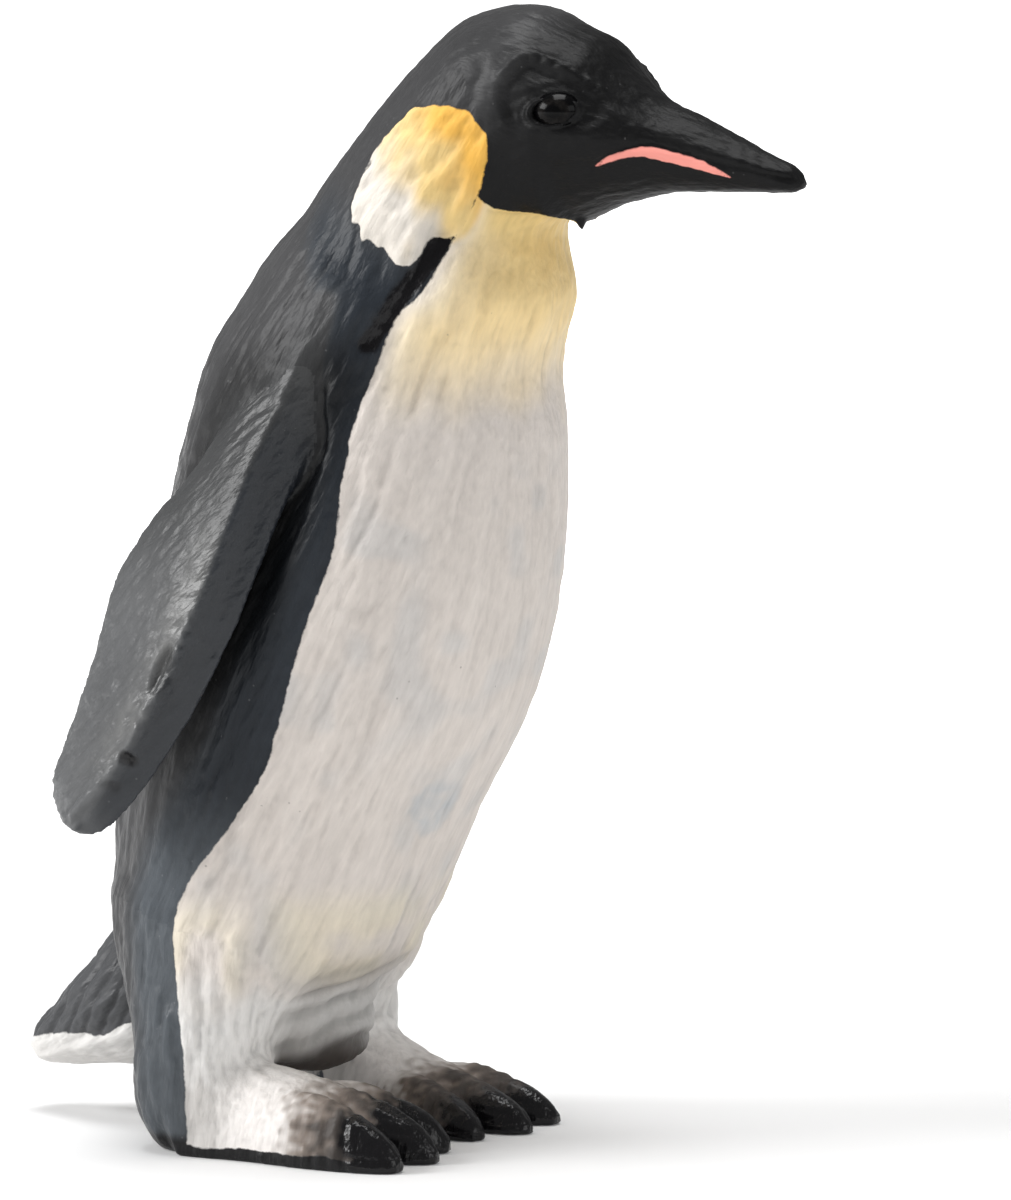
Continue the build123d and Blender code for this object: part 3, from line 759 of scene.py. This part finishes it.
# Relief of the tail: slanting grooves
tail_reach = (points - (0.0, *TAIL_ROOT)) @ tail_along
tail_rise = (points - (0.0, *TAIL_ROOT)) @ tail_up
tail_end = on_tail * ease(14, 18, y)
tail_phase = (tail_rise + 0.55 * tail_reach) * 2 * math.pi / TAIL_GROOVE_PITCH
tail_groove = ease(0.3, 1, np.sin(tail_phase + 2.5 * blotch + 0.8 * x_out)) * (0.5 + patches)
relief -= TAIL_GROOVE_DEPTH * tail_end * tail_groove * ease(0.6, -0.4, pale)

# Relief of the hem: folds between the legs
hem_zone = ease(7, 4, x_out) * ease(13, 10.5, z) * (1 - on_tail) * (1 - on_foot)
hem_fold = np.sin(z * 3.9 - points[:, 0] * 0.9 + 4.0 * blotch) * (0.3 + cloud)
relief *= 1 - 0.4 * hem_zone
relief += HEM_FOLD_RISE * hem_zone * hem_fold * ease(12, 8, y)

# Relief of the feet: wrinkled toes and claws
toe_wrinkle = np.sin(foot_reach * 2 * math.pi / TOE_WRINKLE_PITCH + 5.0 * blotch)
toe_wrinkle *= patches * window(5.5, 9, 12.6, 13.4, foot_reach)
relief += TOE_WRINKLE_RISE * on_toes * toe_wrinkle
relief += TOE_GRIT * on_toes * speckle * ease(12.8, 11, foot_reach)
claw_reach = foot_reach + 1.2 * blotch + 1.2 * speckle - FAR_CLAW_SETBACK * (points[:, 0] > 0)
claws = on_foot * ease(CLAW_LINE - 0.4, CLAW_LINE + 0.5, claw_reach)
relief -= CLAW_GROOVE * on_foot * bell(foot_reach - CLAW_LINE, 0.3)
relief += CLAW_STROKES * claws * fine

# Carved surface, flat at the soles, with the far toes lower than the near ones
relief *= ease(-0.02, 0.5, z)
points = points + normals * relief[:, None]
far_toes = on_foot * ease(3, 9, foot_reach) * (points[:, 0] > 0)
points[:, 2] = np.maximum(points[:, 2] * (1 - FAR_TOE_FLATTENING * far_toes), 0.0)
points[:, 1] += FAR_TOE_SETBACK * far_toes
normals = normals_of(points, quads)
hollow = ((evened(points, quads, 2) - points) * normals).sum(1)
hollow = np.clip(evened(hollow, quads, 1) / HOLLOW_DEPTH, -1.0, 1.0)

# Paint of the dark coat
COAT = tone(68, 68, 69)
FLIPPER_GREY = tone(82, 83, 84)
PAINTED_HIGHLIGHT_GREY = tone(132, 132, 130)
SLATE = tone(78, 83, 88)
SHADE_NAVY = tone(26, 31, 38)
TAIL_GREY = tone(70, 71, 73)
FACE_BLACK = tone(5, 5, 6)
CLAW_BLACK = tone(18, 17, 19)

# Painted highlight: a lighter grey laid along the ridge of each flipper's outer face
painted_sheen = ridge_at(blade, blade_ridge - (0.0, 1.0), 1.5) * window(12, 18, 27, 34, blade_reach)
flank = (1 - on_flipper) * (1 - on_head) * ease(-4.9, -2.5, pale)
# Painted shade: the leading face of each flipper is painted navy
blade_nose_shade = np.maximum(
    ease(0.45, -0.25, right_normals @ blade_outward),
    ease(0.3, 0.85, right_normals @ blade_forward),
)
blade_nose_shade *= on_flipper * ease(1, 9, blade_reach)
face = on_head * ease(-7, -10.5, y + 0.45 * (z - 66))
band = facing_out * ease(0.75, 0.45, band_gap + 0.3 * speckle)
dark = painted(np.tile(COAT, (len(points), 1)), (FLIPPER_GREY, on_flipper))
# Painted light and shade on the flippers: darker near the shoulder, lighter towards the tip
dark = shaded(dark, 0.8 * on_flipper * (0.7 - ease(10, 26, blade_reach)))
dark = painted(
    dark,
    # Painted highlight along the flipper ridges
    (PAINTED_HIGHLIGHT_GREY, 0.55 * blade_face * painted_sheen * (0.4 + 1.2 * grit * patches)),
    (SLATE, flank),
    # Painted shade: navy on the upper flank in the flippers' shadow, and on each flipper's leading face
    (SHADE_NAVY, 0.85 * flank * ease(17, 25, z)),
    (TAIL_GREY, on_tail),
    (SHADE_NAVY, 0.85 * blade_nose_shade),
    (FACE_BLACK, 0.3 * ease(58, 66, z)),
    (FACE_BLACK, face),
    (CLAW_BLACK, band),
    (CLAW_BLACK, on_foot * ease(1.6, 0.9, z)),
)
# Painted shade in the flipper pits, darker the deeper the pit
for pit, depth in BLADE_PITS:
    pit_shade = worn_blade * ease(0.6, 0.25, np.hypot(*(blade - pit).T) + 0.4 * speckle)
    dark = painted(dark, (CLAW_BLACK, min(1.0, 3.0 * depth) * pit_shade))

# Shade in the gap beside the flipper, in the scar and under the shoulder
below_shoulder = ease(54, 49, z)
gap_shade = ease(2.6, 0.8, at(crevice, points)) * (1 - 0.8 * on_flipper)
gap_shade *= ease(0.3, 1.5, blade[:, 1]) * below_shoulder
armpit = (1 - on_flipper) * ease(4, 0.4, depths[1]) * below_shoulder
dark = shaded(dark, 0.75 * gap_shade)
dark = shaded(dark, 0.5 * worn_blade * ease(1.1, 0.5, scar_ring))
dark = shaded(dark, 0.65 * armpit)
dark = shaded(dark, 0.14 - 0.28 * cloud)

# Paint of the pale front
BELLY = tone(220, 212, 205)
BLUE_GREY = tone(188, 192, 195)
THROAT = tone(247, 219, 162)
THROAT_DEEP = tone(224, 196, 132)
THROAT_CREAM = tone(248, 234, 205)
LEG_WHITE = tone(233, 231, 228)
LOW_YELLOW = tone(236, 224, 195)
HEM_SHADE_GREY = tone(92, 89, 85)
EAR_ORANGE = tone(238, 184, 86)
EAR_YELLOW = tone(234, 204, 140)
EAR_WHITE = tone(230, 223, 213)
FOOT_PINK = tone(249, 244, 240)
FOOT_BROWN = tone(136, 124, 115)
FOOT_DARK_AND_HEM_SHADOW = tone(78, 72, 68)

coat_gap = distance_to(side_view, coat_edge)
throat = ease(46, 55, z + 2.0 * blotch) * ease(-0.6, 1.4, coat_gap)
throat_front = ease(-5.5, -9.5, y + blotch) * ease(52, 60, z)
stain_gap = np.linalg.norm(points - STAIN_PLACE, axis=1) + 1.6 * blotch + 0.8 * speckle
stain = ease(STAIN_RADIUS + 0.6, STAIN_RADIUS - 0.6, stain_gap)
stain *= 0.55 + 0.5 * speckle - 0.25 * coarse
low_side = window(8, 11, 14.5, 17.5, z) * ease(5, 8, y)
low_front = window(9, 12, 15, 18, z) * ease(6, 3.5, y)
low_wash = ease(0.3, 0.75, 0.6 * patches + 0.4 * cloud + 0.12 * coarse)
ear = ease(-0.7, -0.2, ear_depth)
light = painted(
    np.tile(BELLY, (len(points), 1)),
    (BLUE_GREY, 0.3 * ease(0.5, 0.85, patches) * ease(46, 40, z)),
    (THROAT_CREAM, throat),
    (THROAT, throat * ease(-0.5, 3.5, coat_gap)),
    (THROAT_DEEP, throat * throat_front),
    (BLUE_GREY, np.clip(stain, 0.0, 1.0)),
    (LOW_YELLOW, 0.5 * np.maximum(low_side, low_front) * low_wash),
    (LEG_WHITE, ease(12, 8, z + 3.0 * blotch)),
    # Painted shade on the hem between the legs, greyer in its folds, and a painted shadow darkening it
    # towards the floor
    (HEM_SHADE_GREY, hem_zone * (0.32 + 0.12 * ease(0.2, -0.7, hem_fold))),
    (FOOT_DARK_AND_HEM_SHADOW, hem_zone * ease(7.2, 5.2, z + 1.2 * blotch)),
    (EAR_WHITE, ear),
)

# Paint of the ear patch, warmer to the front, and of the feet, darker along the toes
ear_warmth = -0.75 * (y + 0.6) + 0.45 * (z - 57.0) + 2.4 * blotch + 0.8 * coarse
foot_wash = foot_reach + 2.4 * blotch + 3.6 * speckle
low_leg = on_foot * ease(6, 3.5, z + 2.0 * speckle) * (1 - on_toes)
light = painted(
    # Painted shade in the wrinkles of the ear patch
    shaded(light, 0.12 * ear * ease(0.2, -0.6, ear_wrinkle)),
    (EAR_YELLOW, ear * ease(3.2, 6, ear_warmth)),
    (EAR_ORANGE, ear * ease(5.9, 8.8, ear_warmth)),
    (FOOT_PINK, on_toes),
    (FOOT_BROWN, on_toes * ease(6, 10.5, foot_wash)),
    (FOOT_DARK_AND_HEM_SHADOW, on_toes * ease(9.5, 12.6, foot_wash)),
    (FOOT_BROWN, 0.3 * low_leg),
    (CLAW_BLACK, claws),
)
# The pale paint is darker in the hollows
light = shaded(light, 0.2 * np.clip(hollow, 0.0, 1.0))

# How rough the paint is
COAT_ROUGHNESS = 0.42
FACE_ROUGHNESS = 0.5
GLOSS_ROUGHNESS = 0.22
NOSE_ROUGHNESS = 0.45
roughness = COAT_ROUGHNESS + 0.12 * (cloud - 0.5) + 0.16 * ease(-0.3, 0.3, pale) - 0.05 * blade_face
roughness += (FACE_ROUGHNESS - roughness) * face
roughness += (GLOSS_ROUGHNESS - roughness) * np.maximum(band, claws)
roughness += (NOSE_ROUGHNESS - roughness) * blade_nose_shade * 0.6


def make(tree, kind, values=None, **settings):
    """Node of a kind with its settings, inputs set to values or linked to other nodes' outputs."""
    node = tree.nodes.new(kind)
    for name, value in settings.items():
        setattr(node, name, value)
    for name, value in (values or {}).items():
        if isinstance(value, bpy.types.NodeSocket):
            tree.links.new(value, node.inputs[name])
        else:
            node.inputs[name].default_value = value
    return node


def attribute(tree, name, kind="Fac"):
    """Output of a vertex attribute."""
    return make(tree, "ShaderNodeAttribute", attribute_name=name).outputs[kind]


def number(tree, operation, *values):
    """Output of a sum on numbers or sockets."""
    return make(tree, "ShaderNodeMath", dict(enumerate(values)), operation=operation).outputs[0]


def scaled(tree, value, factor, shift):
    """Output of a value times a factor, plus a shift."""
    return number(tree, "MULTIPLY_ADD", value, factor, shift)


def vector(tree, operation, values, kind="Vector"):
    """Output of a sum on vectors or sockets."""
    return make(tree, "ShaderNodeVectorMath", values, operation=operation).outputs[kind]


def ramp(tree, value, low, high):
    """Output that goes from 0 at low to 1 at high."""
    node = make(tree, "ShaderNodeMapRange", {"Value": value, "From Min": low, "From Max": high})
    return node.outputs["Result"]


def mixed(tree, share, a, b, blend_type="MIX"):
    """Output of two colours mixed by a share."""
    values = {0: share, 6: a, 7: b}
    return make(tree, "ShaderNodeMix", values, data_type="RGBA", blend_type=blend_type).outputs[2]


def times(tree, colour, share):
    """Output of a colour times a share."""
    return mixed(tree, 1.0, colour, share, "MULTIPLY")


def noise(tree, place, scale, detail=2.0):
    """Output of a noise with so many cells to the metre."""
    values = {"Vector": place, "Scale": scale, "Detail": detail}
    return make(tree, "ShaderNodeTexNoise", values).outputs["Fac"]


def drawn_out(tree, place, grain, stretch):
    """Places squeezed along the grain, so that a noise in them is drawn out that way."""
    direction = tuple(unit(grain))
    reach = vector(tree, "DOT_PRODUCT", {0: place, 1: direction}, "Value")
    squeeze = number(tree, "MULTIPLY", reach, 1.0 / stretch - 1.0)
    shift = vector(tree, "SCALE", {0: direction, "Scale": squeeze})
    return vector(tree, "ADD", {0: place, 1: shift})


def flecks(tree, place, scale, radius, core, chance):
    """Output that is one in small round flecks, on so many cells to the metre, in some places only."""
    cells = make(tree, "ShaderNodeTexVoronoi", {"Vector": place, "Scale": scale}).outputs["Distance"]
    return number(tree, "MULTIPLY", ramp(tree, cells, radius, core), chance)


def new_material(name, values):
    """Material with its node tree and its shader, some inputs of which are set to values."""
    material = bpy.data.materials.new(name)
    material.use_nodes = True
    shader = material.node_tree.nodes["Principled BSDF"]
    for socket, value in values.items():
        shader.inputs[socket].default_value = value
    return material, material.node_tree, shader


# Small colours, and the cells to the metre of the noises
DUST_GREY = (*tone(190, 190, 190), 1.0)
SPECK_BROWN = (0.12, 0.1, 0.09, 1.0)
LIP_PINK = (*tone(250, 160, 148), 1.0)
EYE_BLACK = (*tone(7, 7, 8), 1.0)
IRIS_DARK = (*tone(12, 11, 11), 1.0)
IRIS_BROWN = (*tone(26, 24, 23), 1.0)
RAGGED_CELLS = 1700.0
SMEAR_CELLS = 900.0
BRUSH_CELLS = 2600.0
GRAIN_CELLS = 3500.0
DUST_CELLS = 1400.0
DUST_PATCHES = 600.0
SPECK_CELLS = 900.0
SPECK_PATCHES = 400.0
IRIS_CELLS = 5000.0


def paint_material(name, grain, stretch, depth, specular):
    """Hand-painted finish: dark coat over a pale front, with a ragged edge, brush strokes and specks."""
    material, tree, shader = new_material(name, {"Specular IOR Level": specular})
    place = make(tree, "ShaderNodeTexCoord").outputs["Object"]
    stroke = attribute(tree, "stroke")
    smear = noise(tree, place, SMEAR_CELLS, 4.0)
    brush = noise(tree, drawn_out(tree, place, grain, stretch), BRUSH_CELLS)

    ragged = number(tree, "SUBTRACT", noise(tree, place, RAGGED_CELLS, 3.0), 0.5)
    edge = scaled(tree, ragged, 0.3, attribute(tree, "pale"))
    is_pale = ramp(tree, scaled(tree, stroke, 0.12, edge), -0.05, 0.05)
    lips = scaled(tree, ragged, 0.2, attribute(tree, "mouth"))
    is_pink = ramp(tree, lips, -0.04, 0.04)

    # The dark paint is darker in the hollows
    hollow_darkening = scaled(tree, attribute(tree, "hollow"), -0.16, 1.0)
    dark_colour = times(tree, attribute(tree, "dark", "Color"), hollow_darkening)
    dark_colour = times(tree, dark_colour, scaled(tree, smear, 0.35, 0.82))
    dusty = number(tree, "GREATER_THAN", noise(tree, place, DUST_PATCHES), 0.58)
    dust = flecks(tree, place, DUST_CELLS, 0.14, 0.05, dusty)
    dark_colour = mixed(tree, number(tree, "MULTIPLY", dust, 0.1), dark_colour, DUST_GREY)

    groove = scaled(tree, brush, 0.28, scaled(tree, stroke, 0.03, 0.86))
    pale_colour = times(tree, attribute(tree, "light", "Color"), groove)
    pale_colour = times(tree, pale_colour, scaled(tree, smear, 0.1, 0.95))
    specked = number(tree, "GREATER_THAN", noise(tree, place, SPECK_PATCHES), 0.62)
    speck = flecks(tree, place, SPECK_CELLS, 0.09, 0.04, specked)
    pale_colour = mixed(tree, number(tree, "MULTIPLY", speck, 0.45), pale_colour, SPECK_BROWN)

    colour = mixed(tree, is_pale, dark_colour, pale_colour)
    colour = mixed(tree, is_pink, colour, LIP_PINK)
    tree.links.new(colour, shader.inputs["Base Color"])
    tree.links.new(attribute(tree, "roughness"), shader.inputs["Roughness"])

    height = number(tree, "MULTIPLY", stroke, 0.03)
    height = scaled(tree, noise(tree, place, GRAIN_CELLS, 3.0), 0.02, height)
    height = scaled(tree, brush, depth, height)
    height = scaled(tree, is_pale, -0.03, height)
    bump = make(tree, "ShaderNodeBump", {"Height": height, "Strength": 0.6, "Distance": 0.001})
    tree.links.new(bump.outputs["Normal"], shader.inputs["Normal"])
    return material


def eye_material():
    """Gloss black bead with a dark iris."""
    material, tree, shader = new_material("eye_gloss", {"Roughness": 0.15, "Specular IOR Level": 0.08})
    place = make(tree, "ShaderNodeTexCoord").outputs["Object"]
    fleck = ramp(tree, noise(tree, place, IRIS_CELLS, 3.0), 0.35, 0.65)
    iris = mixed(tree, fleck, IRIS_DARK, IRIS_BROWN)
    colour = mixed(tree, attribute(tree, "iris"), EYE_BLACK, iris)
    tree.links.new(colour, shader.inputs["Base Color"])
    return material


def placed(name, data):
    """Object of some data, in the scene."""
    item = bpy.data.objects.new(name, data)
    bpy.context.scene.collection.objects.link(item)
    return item


def smooth_mesh(name, places, faces, material, rows):
    """Mesh with smooth faces, a material, and rows of values for its vertices."""
    mesh = bpy.data.meshes.new(name)
    mesh.from_pydata((places * MM).tolist(), [], faces)
    mesh.polygons.foreach_set("use_smooth", np.ones(len(faces), bool))
    mesh.materials.append(material)
    for key, values in rows.items():
        if values.ndim == 1:
            layer = mesh.attributes.new(key, "FLOAT", "POINT")
            layer.data.foreach_set("value", values.astype(np.float32))
        else:
            layer = mesh.attributes.new(key, "FLOAT_COLOR", "POINT")
            colours = np.column_stack([values, np.ones(len(values))])
            layer.data.foreach_set("color", colours.astype(np.float32).ravel())
    return mesh


def boundary_groups(faces):
    """Edges with a face on one side only, in the groups that hang together."""
    edges = np.concatenate([faces[:, [corner, (corner + 1) % 4]] for corner in range(4)])
    ordered = np.sort(edges, 1)
    keys = ordered[:, 0] * len(points) + ordered[:, 1]
    _, first, count = np.unique(keys, return_index=True, return_counts=True)
    open_edges = edges[first[count == 1]]
    parent = {int(v): int(v) for v in open_edges.ravel()}

    def top(vertex):
        """Vertex that stands for a group."""
        while parent[vertex] != vertex:
            parent[vertex] = parent[parent[vertex]]
            vertex = parent[vertex]
        return vertex

    for a, b in open_edges.tolist():
        parent[top(a)] = top(b)
    groups = {}
    for a, b in open_edges.tolist():
        groups.setdefault(top(a), []).append((a, b))
    return list(groups.values())


def make_piece(name, faces, material):
    """Mesh object of one piece, closed inside: a shell towards the spine, others across the root."""
    used, inverse = np.unique(faces, return_inverse=True)
    corners = inverse.reshape(-1, 4)
    place_of = dict(zip(used.tolist(), range(len(used))))
    co, directions = points[used], normals[used]
    rows = {key: values[used] for key, values in VERTEX_VALUES.items()}
    fans = []
    for group in boundary_groups(faces):
        rim = np.unique(group)
        if name.endswith("shell"):
            hubs, hub_of = np.unique(nearest[rim], return_inverse=True)
            centres = np.column_stack([np.zeros(len(hubs)), samples[hubs, :2]])
        else:
            hub_of = np.zeros(len(rim), int)
            centres = points[rim].mean(0)[None]
        inner = dict(zip(rim.tolist(), (len(co) + hub_of).tolist()))
        co = np.vstack([co, centres])
        directions = np.vstack([directions, np.tile((0.0, 0.0, 1.0), (len(centres), 1))])
        first = np.full(len(centres), rim[0])
        rows = {key: np.concatenate([values, VERTEX_VALUES[key][first]]) for key, values in rows.items()}
        for a, b in group:
            fans.append((place_of[b], place_of[a], inner[a]))
            if inner[a] != inner[b]:
                fans.append((place_of[b], inner[a], inner[b]))
    mesh = smooth_mesh(name, co, corners.tolist() + fans, material, rows)
    mesh.normals_split_custom_set_from_vertices(directions)
    return placed(name + "_painted", mesh)


# Finish of each piece: direction of the brush strokes, their stretch, their depth, and the gloss
DOWN_AND_BACK = (0.0, 0.45, -0.9)
DOWN = (0.0, 0.1, -1.0)
BACKWARDS = (0.0, 1.0, 0.2)
FINISHES = {
    "belly_shell": (DOWN_AND_BACK, 5.0, 0.16, 0.18),
    "back_shell": (DOWN_AND_BACK, 5.0, 0.16, 0.18),
    "head": (BACKWARDS, 4.0, 0.14, 0.18),
    "right_flipper": (blade_grain, 2.6, 0.15, 0.38),
    "left_flipper": (blade_grain * (-1, 1, 1), 2.6, 0.15, 0.38),
    "right_foot": (DOWN, 3.0, 0.16, 0.3),
    "left_foot": (DOWN, 3.0, 0.16, 0.3),
    "tail": (tail_along, 5.0, 0.2, 0.3),
}

# Which piece each face belongs to
order = {name: index for index, name in enumerate(FINISHES)}
middles = points[quads].mean(1)
on_trunk = at(trunk, middles)
limbs = np.stack([at(flipper, middles), at(foot, middles), at(tail, middles)])
limb = limbs.argmin(0)
on_limb = limbs.min(0) < on_trunk
tilt = math.radians(HEAD_JOINT[1])
ahead = (middles - np.array(HEAD_JOINT[0])) @ np.array([0.0, -math.sin(tilt), math.cos(tilt)])
seam_lean = unit((0.0, SEAM_HIGH[0] - SEAM_LOW[0], SEAM_HIGH[1] - SEAM_LOW[1]))
forward = (middles - np.array([0.0, *SEAM_LOW])) @ np.array([0.0, -seam_lean[2], seam_lean[1]])
left = middles[:, 0] > 0
piece_of = np.where(forward > 0, order["belly_shell"], order["back_shell"])
piece_of = np.where(ahead > 0, order["head"], piece_of)
for index, part in enumerate(("flipper", "foot")):
    side_of = np.where(left, order["left_" + part], order["right_" + part])
    piece_of = np.where(on_limb & (limb == index), side_of, piece_of)
piece_of = np.where(on_limb & (limb == 2), order["tail"], piece_of)

VERTEX_VALUES = {
    "pale": pale,
    "mouth": mouth,
    "dark": dark,
    "light": light,
    "roughness": roughness,
    "stroke": coarse * (1 - 0.8 * on_flipper),
    "hollow": hollow,
}
for name, index in order.items():
    paint = paint_material(name + "_paint", *FINISHES[name])
    piece = make_piece(name, quads[piece_of == index], paint)
    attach(piece, "root")
    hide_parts(name)


def eye_piece(name, side, material):
    """Bead of an eye with a bulging cornea, looking out and a little forward."""
    mirrored = (-side, 1, 1)
    look = unit(EYE_LOOK * mirrored)
    across = unit(np.cross(look, (0.0, 0.0, 1.0)))
    up = np.cross(across, look)
    rings, turns = 40, 64
    angles = circle(turns)
    circles = []
    iris = []
    for from_look in np.linspace(0.02, math.pi - 0.02, rings):
        radius = EYE_RADIUS * (1 - CORNEA_BULGE + CORNEA_BULGE * bell(from_look, 0.5))
        ring = BEAD_STRETCH * np.cos(angles)[:, None] * across + np.sin(angles)[:, None] * up
        circles.append(radius * (math.cos(from_look) * look + math.sin(from_look) * ring))
        iris += [window(0.3, 0.36, 0.62, 0.72, from_look)] * turns
    ball, triangles = tube(circles)
    ball = ball + EYE_PLACE * mirrored - BEAD_SET_BACK * look
    rows = {"iris": np.array(iris + [0.0, 0.0])}
    return placed(name + "_bead", smooth_mesh(name, ball, triangles.tolist(), material, rows))


gloss = eye_material()
for name, side in (("right_eye", -1), ("left_eye", 1)):
    piece = eye_piece(name, side, gloss)
    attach(piece, "root")
    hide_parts(name)

# Floor, lifted to white where the camera sees it away from the figure; lengths from here on in metres
FLOOR_HALF_SIZE = 6.0
WHITE = (1.0, 1.0, 1.0, 1.0)
FLOOR_LOOK = {
    "Base Color": (0.86, 0.86, 0.86, 1.0),
    "Roughness": 0.9,
    "Specular IOR Level": 0.0,
    "Emission Color": WHITE,
}
FLOOR_LIFT = 0.07
FLOOR_LIT_TO = 0.08
FLOOR_WHITE_FROM = 0.36
floor_mesh = bpy.data.meshes.new("floor")
floor_corners = np.array([(-1, -1, 0), (1, -1, 0), (1, 1, 0), (-1, 1, 0)]) * FLOOR_HALF_SIZE
floor_mesh.from_pydata(floor_corners.tolist(), [], [(0, 1, 2, 3)])
floor = placed("floor", floor_mesh)
floor_paint, floor_tree, floor_shader = new_material("floor_white", FLOOR_LOOK)
path = make(floor_tree, "ShaderNodeLightPath").outputs
seen = number(floor_tree, "ADD", path["Is Camera Ray"], path["Is Glossy Ray"])
seen = number(floor_tree, "ADD", seen, path["Is Transmission Ray"])
spot = make(floor_tree, "ShaderNodeNewGeometry").outputs["Position"]
away = vector(floor_tree, "LENGTH", {0: spot}, "Value")
lift = ramp(floor_tree, away, FLOOR_LIT_TO, FLOOR_WHITE_FROM)
lift = scaled(floor_tree, lift, 1 - FLOOR_LIFT, FLOOR_LIFT)
lift = number(floor_tree, "MULTIPLY", lift, seen)
floor_tree.links.new(lift, floor_shader.inputs["Emission Strength"])
floor_mesh.materials.append(floor_paint)

# Camera
CAMERA_TURN = math.radians(-60.0)
CAMERA_RISE = math.radians(6.5)
CAMERA_DISTANCE = 0.6
VIEW_HEIGHT = 0.07595
AIM_RIGHT = 0.00566
AIM_HEIGHT = 0.0348
SENSOR = 36.0
camera_data = bpy.data.cameras.new("camera")
camera = placed("camera", camera_data)
back = np.array(
    [
        math.sin(CAMERA_TURN) * math.cos(CAMERA_RISE),
        -math.cos(CAMERA_TURN) * math.cos(CAMERA_RISE),
        math.sin(CAMERA_RISE),
    ]
)
right = np.array([math.cos(CAMERA_TURN), math.sin(CAMERA_TURN), 0.0])
up = np.array([0.0, 0.0, 1.0])
camera.location = AIM_RIGHT * right + AIM_HEIGHT * up + CAMERA_DISTANCE * back
camera.rotation_euler = (math.pi / 2 - CAMERA_RISE, 0.0, CAMERA_TURN)
camera_data.sensor_fit = "VERTICAL"
camera_data.sensor_height = SENSOR
camera_data.lens = SENSOR * CAMERA_DISTANCE / VIEW_HEIGHT
camera_data.clip_end = 50.0
bpy.context.scene.camera = camera

# Lamps on the left, overhead and on the right: place right, towards the camera and up, width, power
LAMPS = {
    "key": (-0.9, 0.12, 0.5, 0.45, 8.4),
    "top": (0.0, -0.05, 1.0, 0.5, 6.8),
    "fill": (0.75, 0.6, 0.35, 0.5, 1.8),
}
FIGURE_MIDDLE = np.array([0.0, 0.0, 0.036])
ROOM_STRENGTH = 0.28


def softbox(name, place, width, power):
    """Square lamp at a place, facing the middle of the figure."""
    lamp_data = bpy.data.lights.new(name, "AREA")
    lamp_data.size = width
    lamp_data.energy = power
    lamp = placed(name, lamp_data)
    lamp.location = place
    facing = unit(place - FIGURE_MIDDLE)
    lamp.rotation_euler = (math.acos(facing[2]), 0.0, math.atan2(facing[0], -facing[1]))


for name, (across, towards, height, width, power) in LAMPS.items():
    softbox(name, across * right + towards * back + height * up, width, power)
world = bpy.data.worlds.new("world")
bpy.context.scene.world = world
world.use_nodes = True
room = world.node_tree.nodes["Background"].inputs
room["Color"].default_value = WHITE
room["Strength"].default_value = ROOM_STRENGTH

bpy.context.scene.view_settings.view_transform = "Standard"
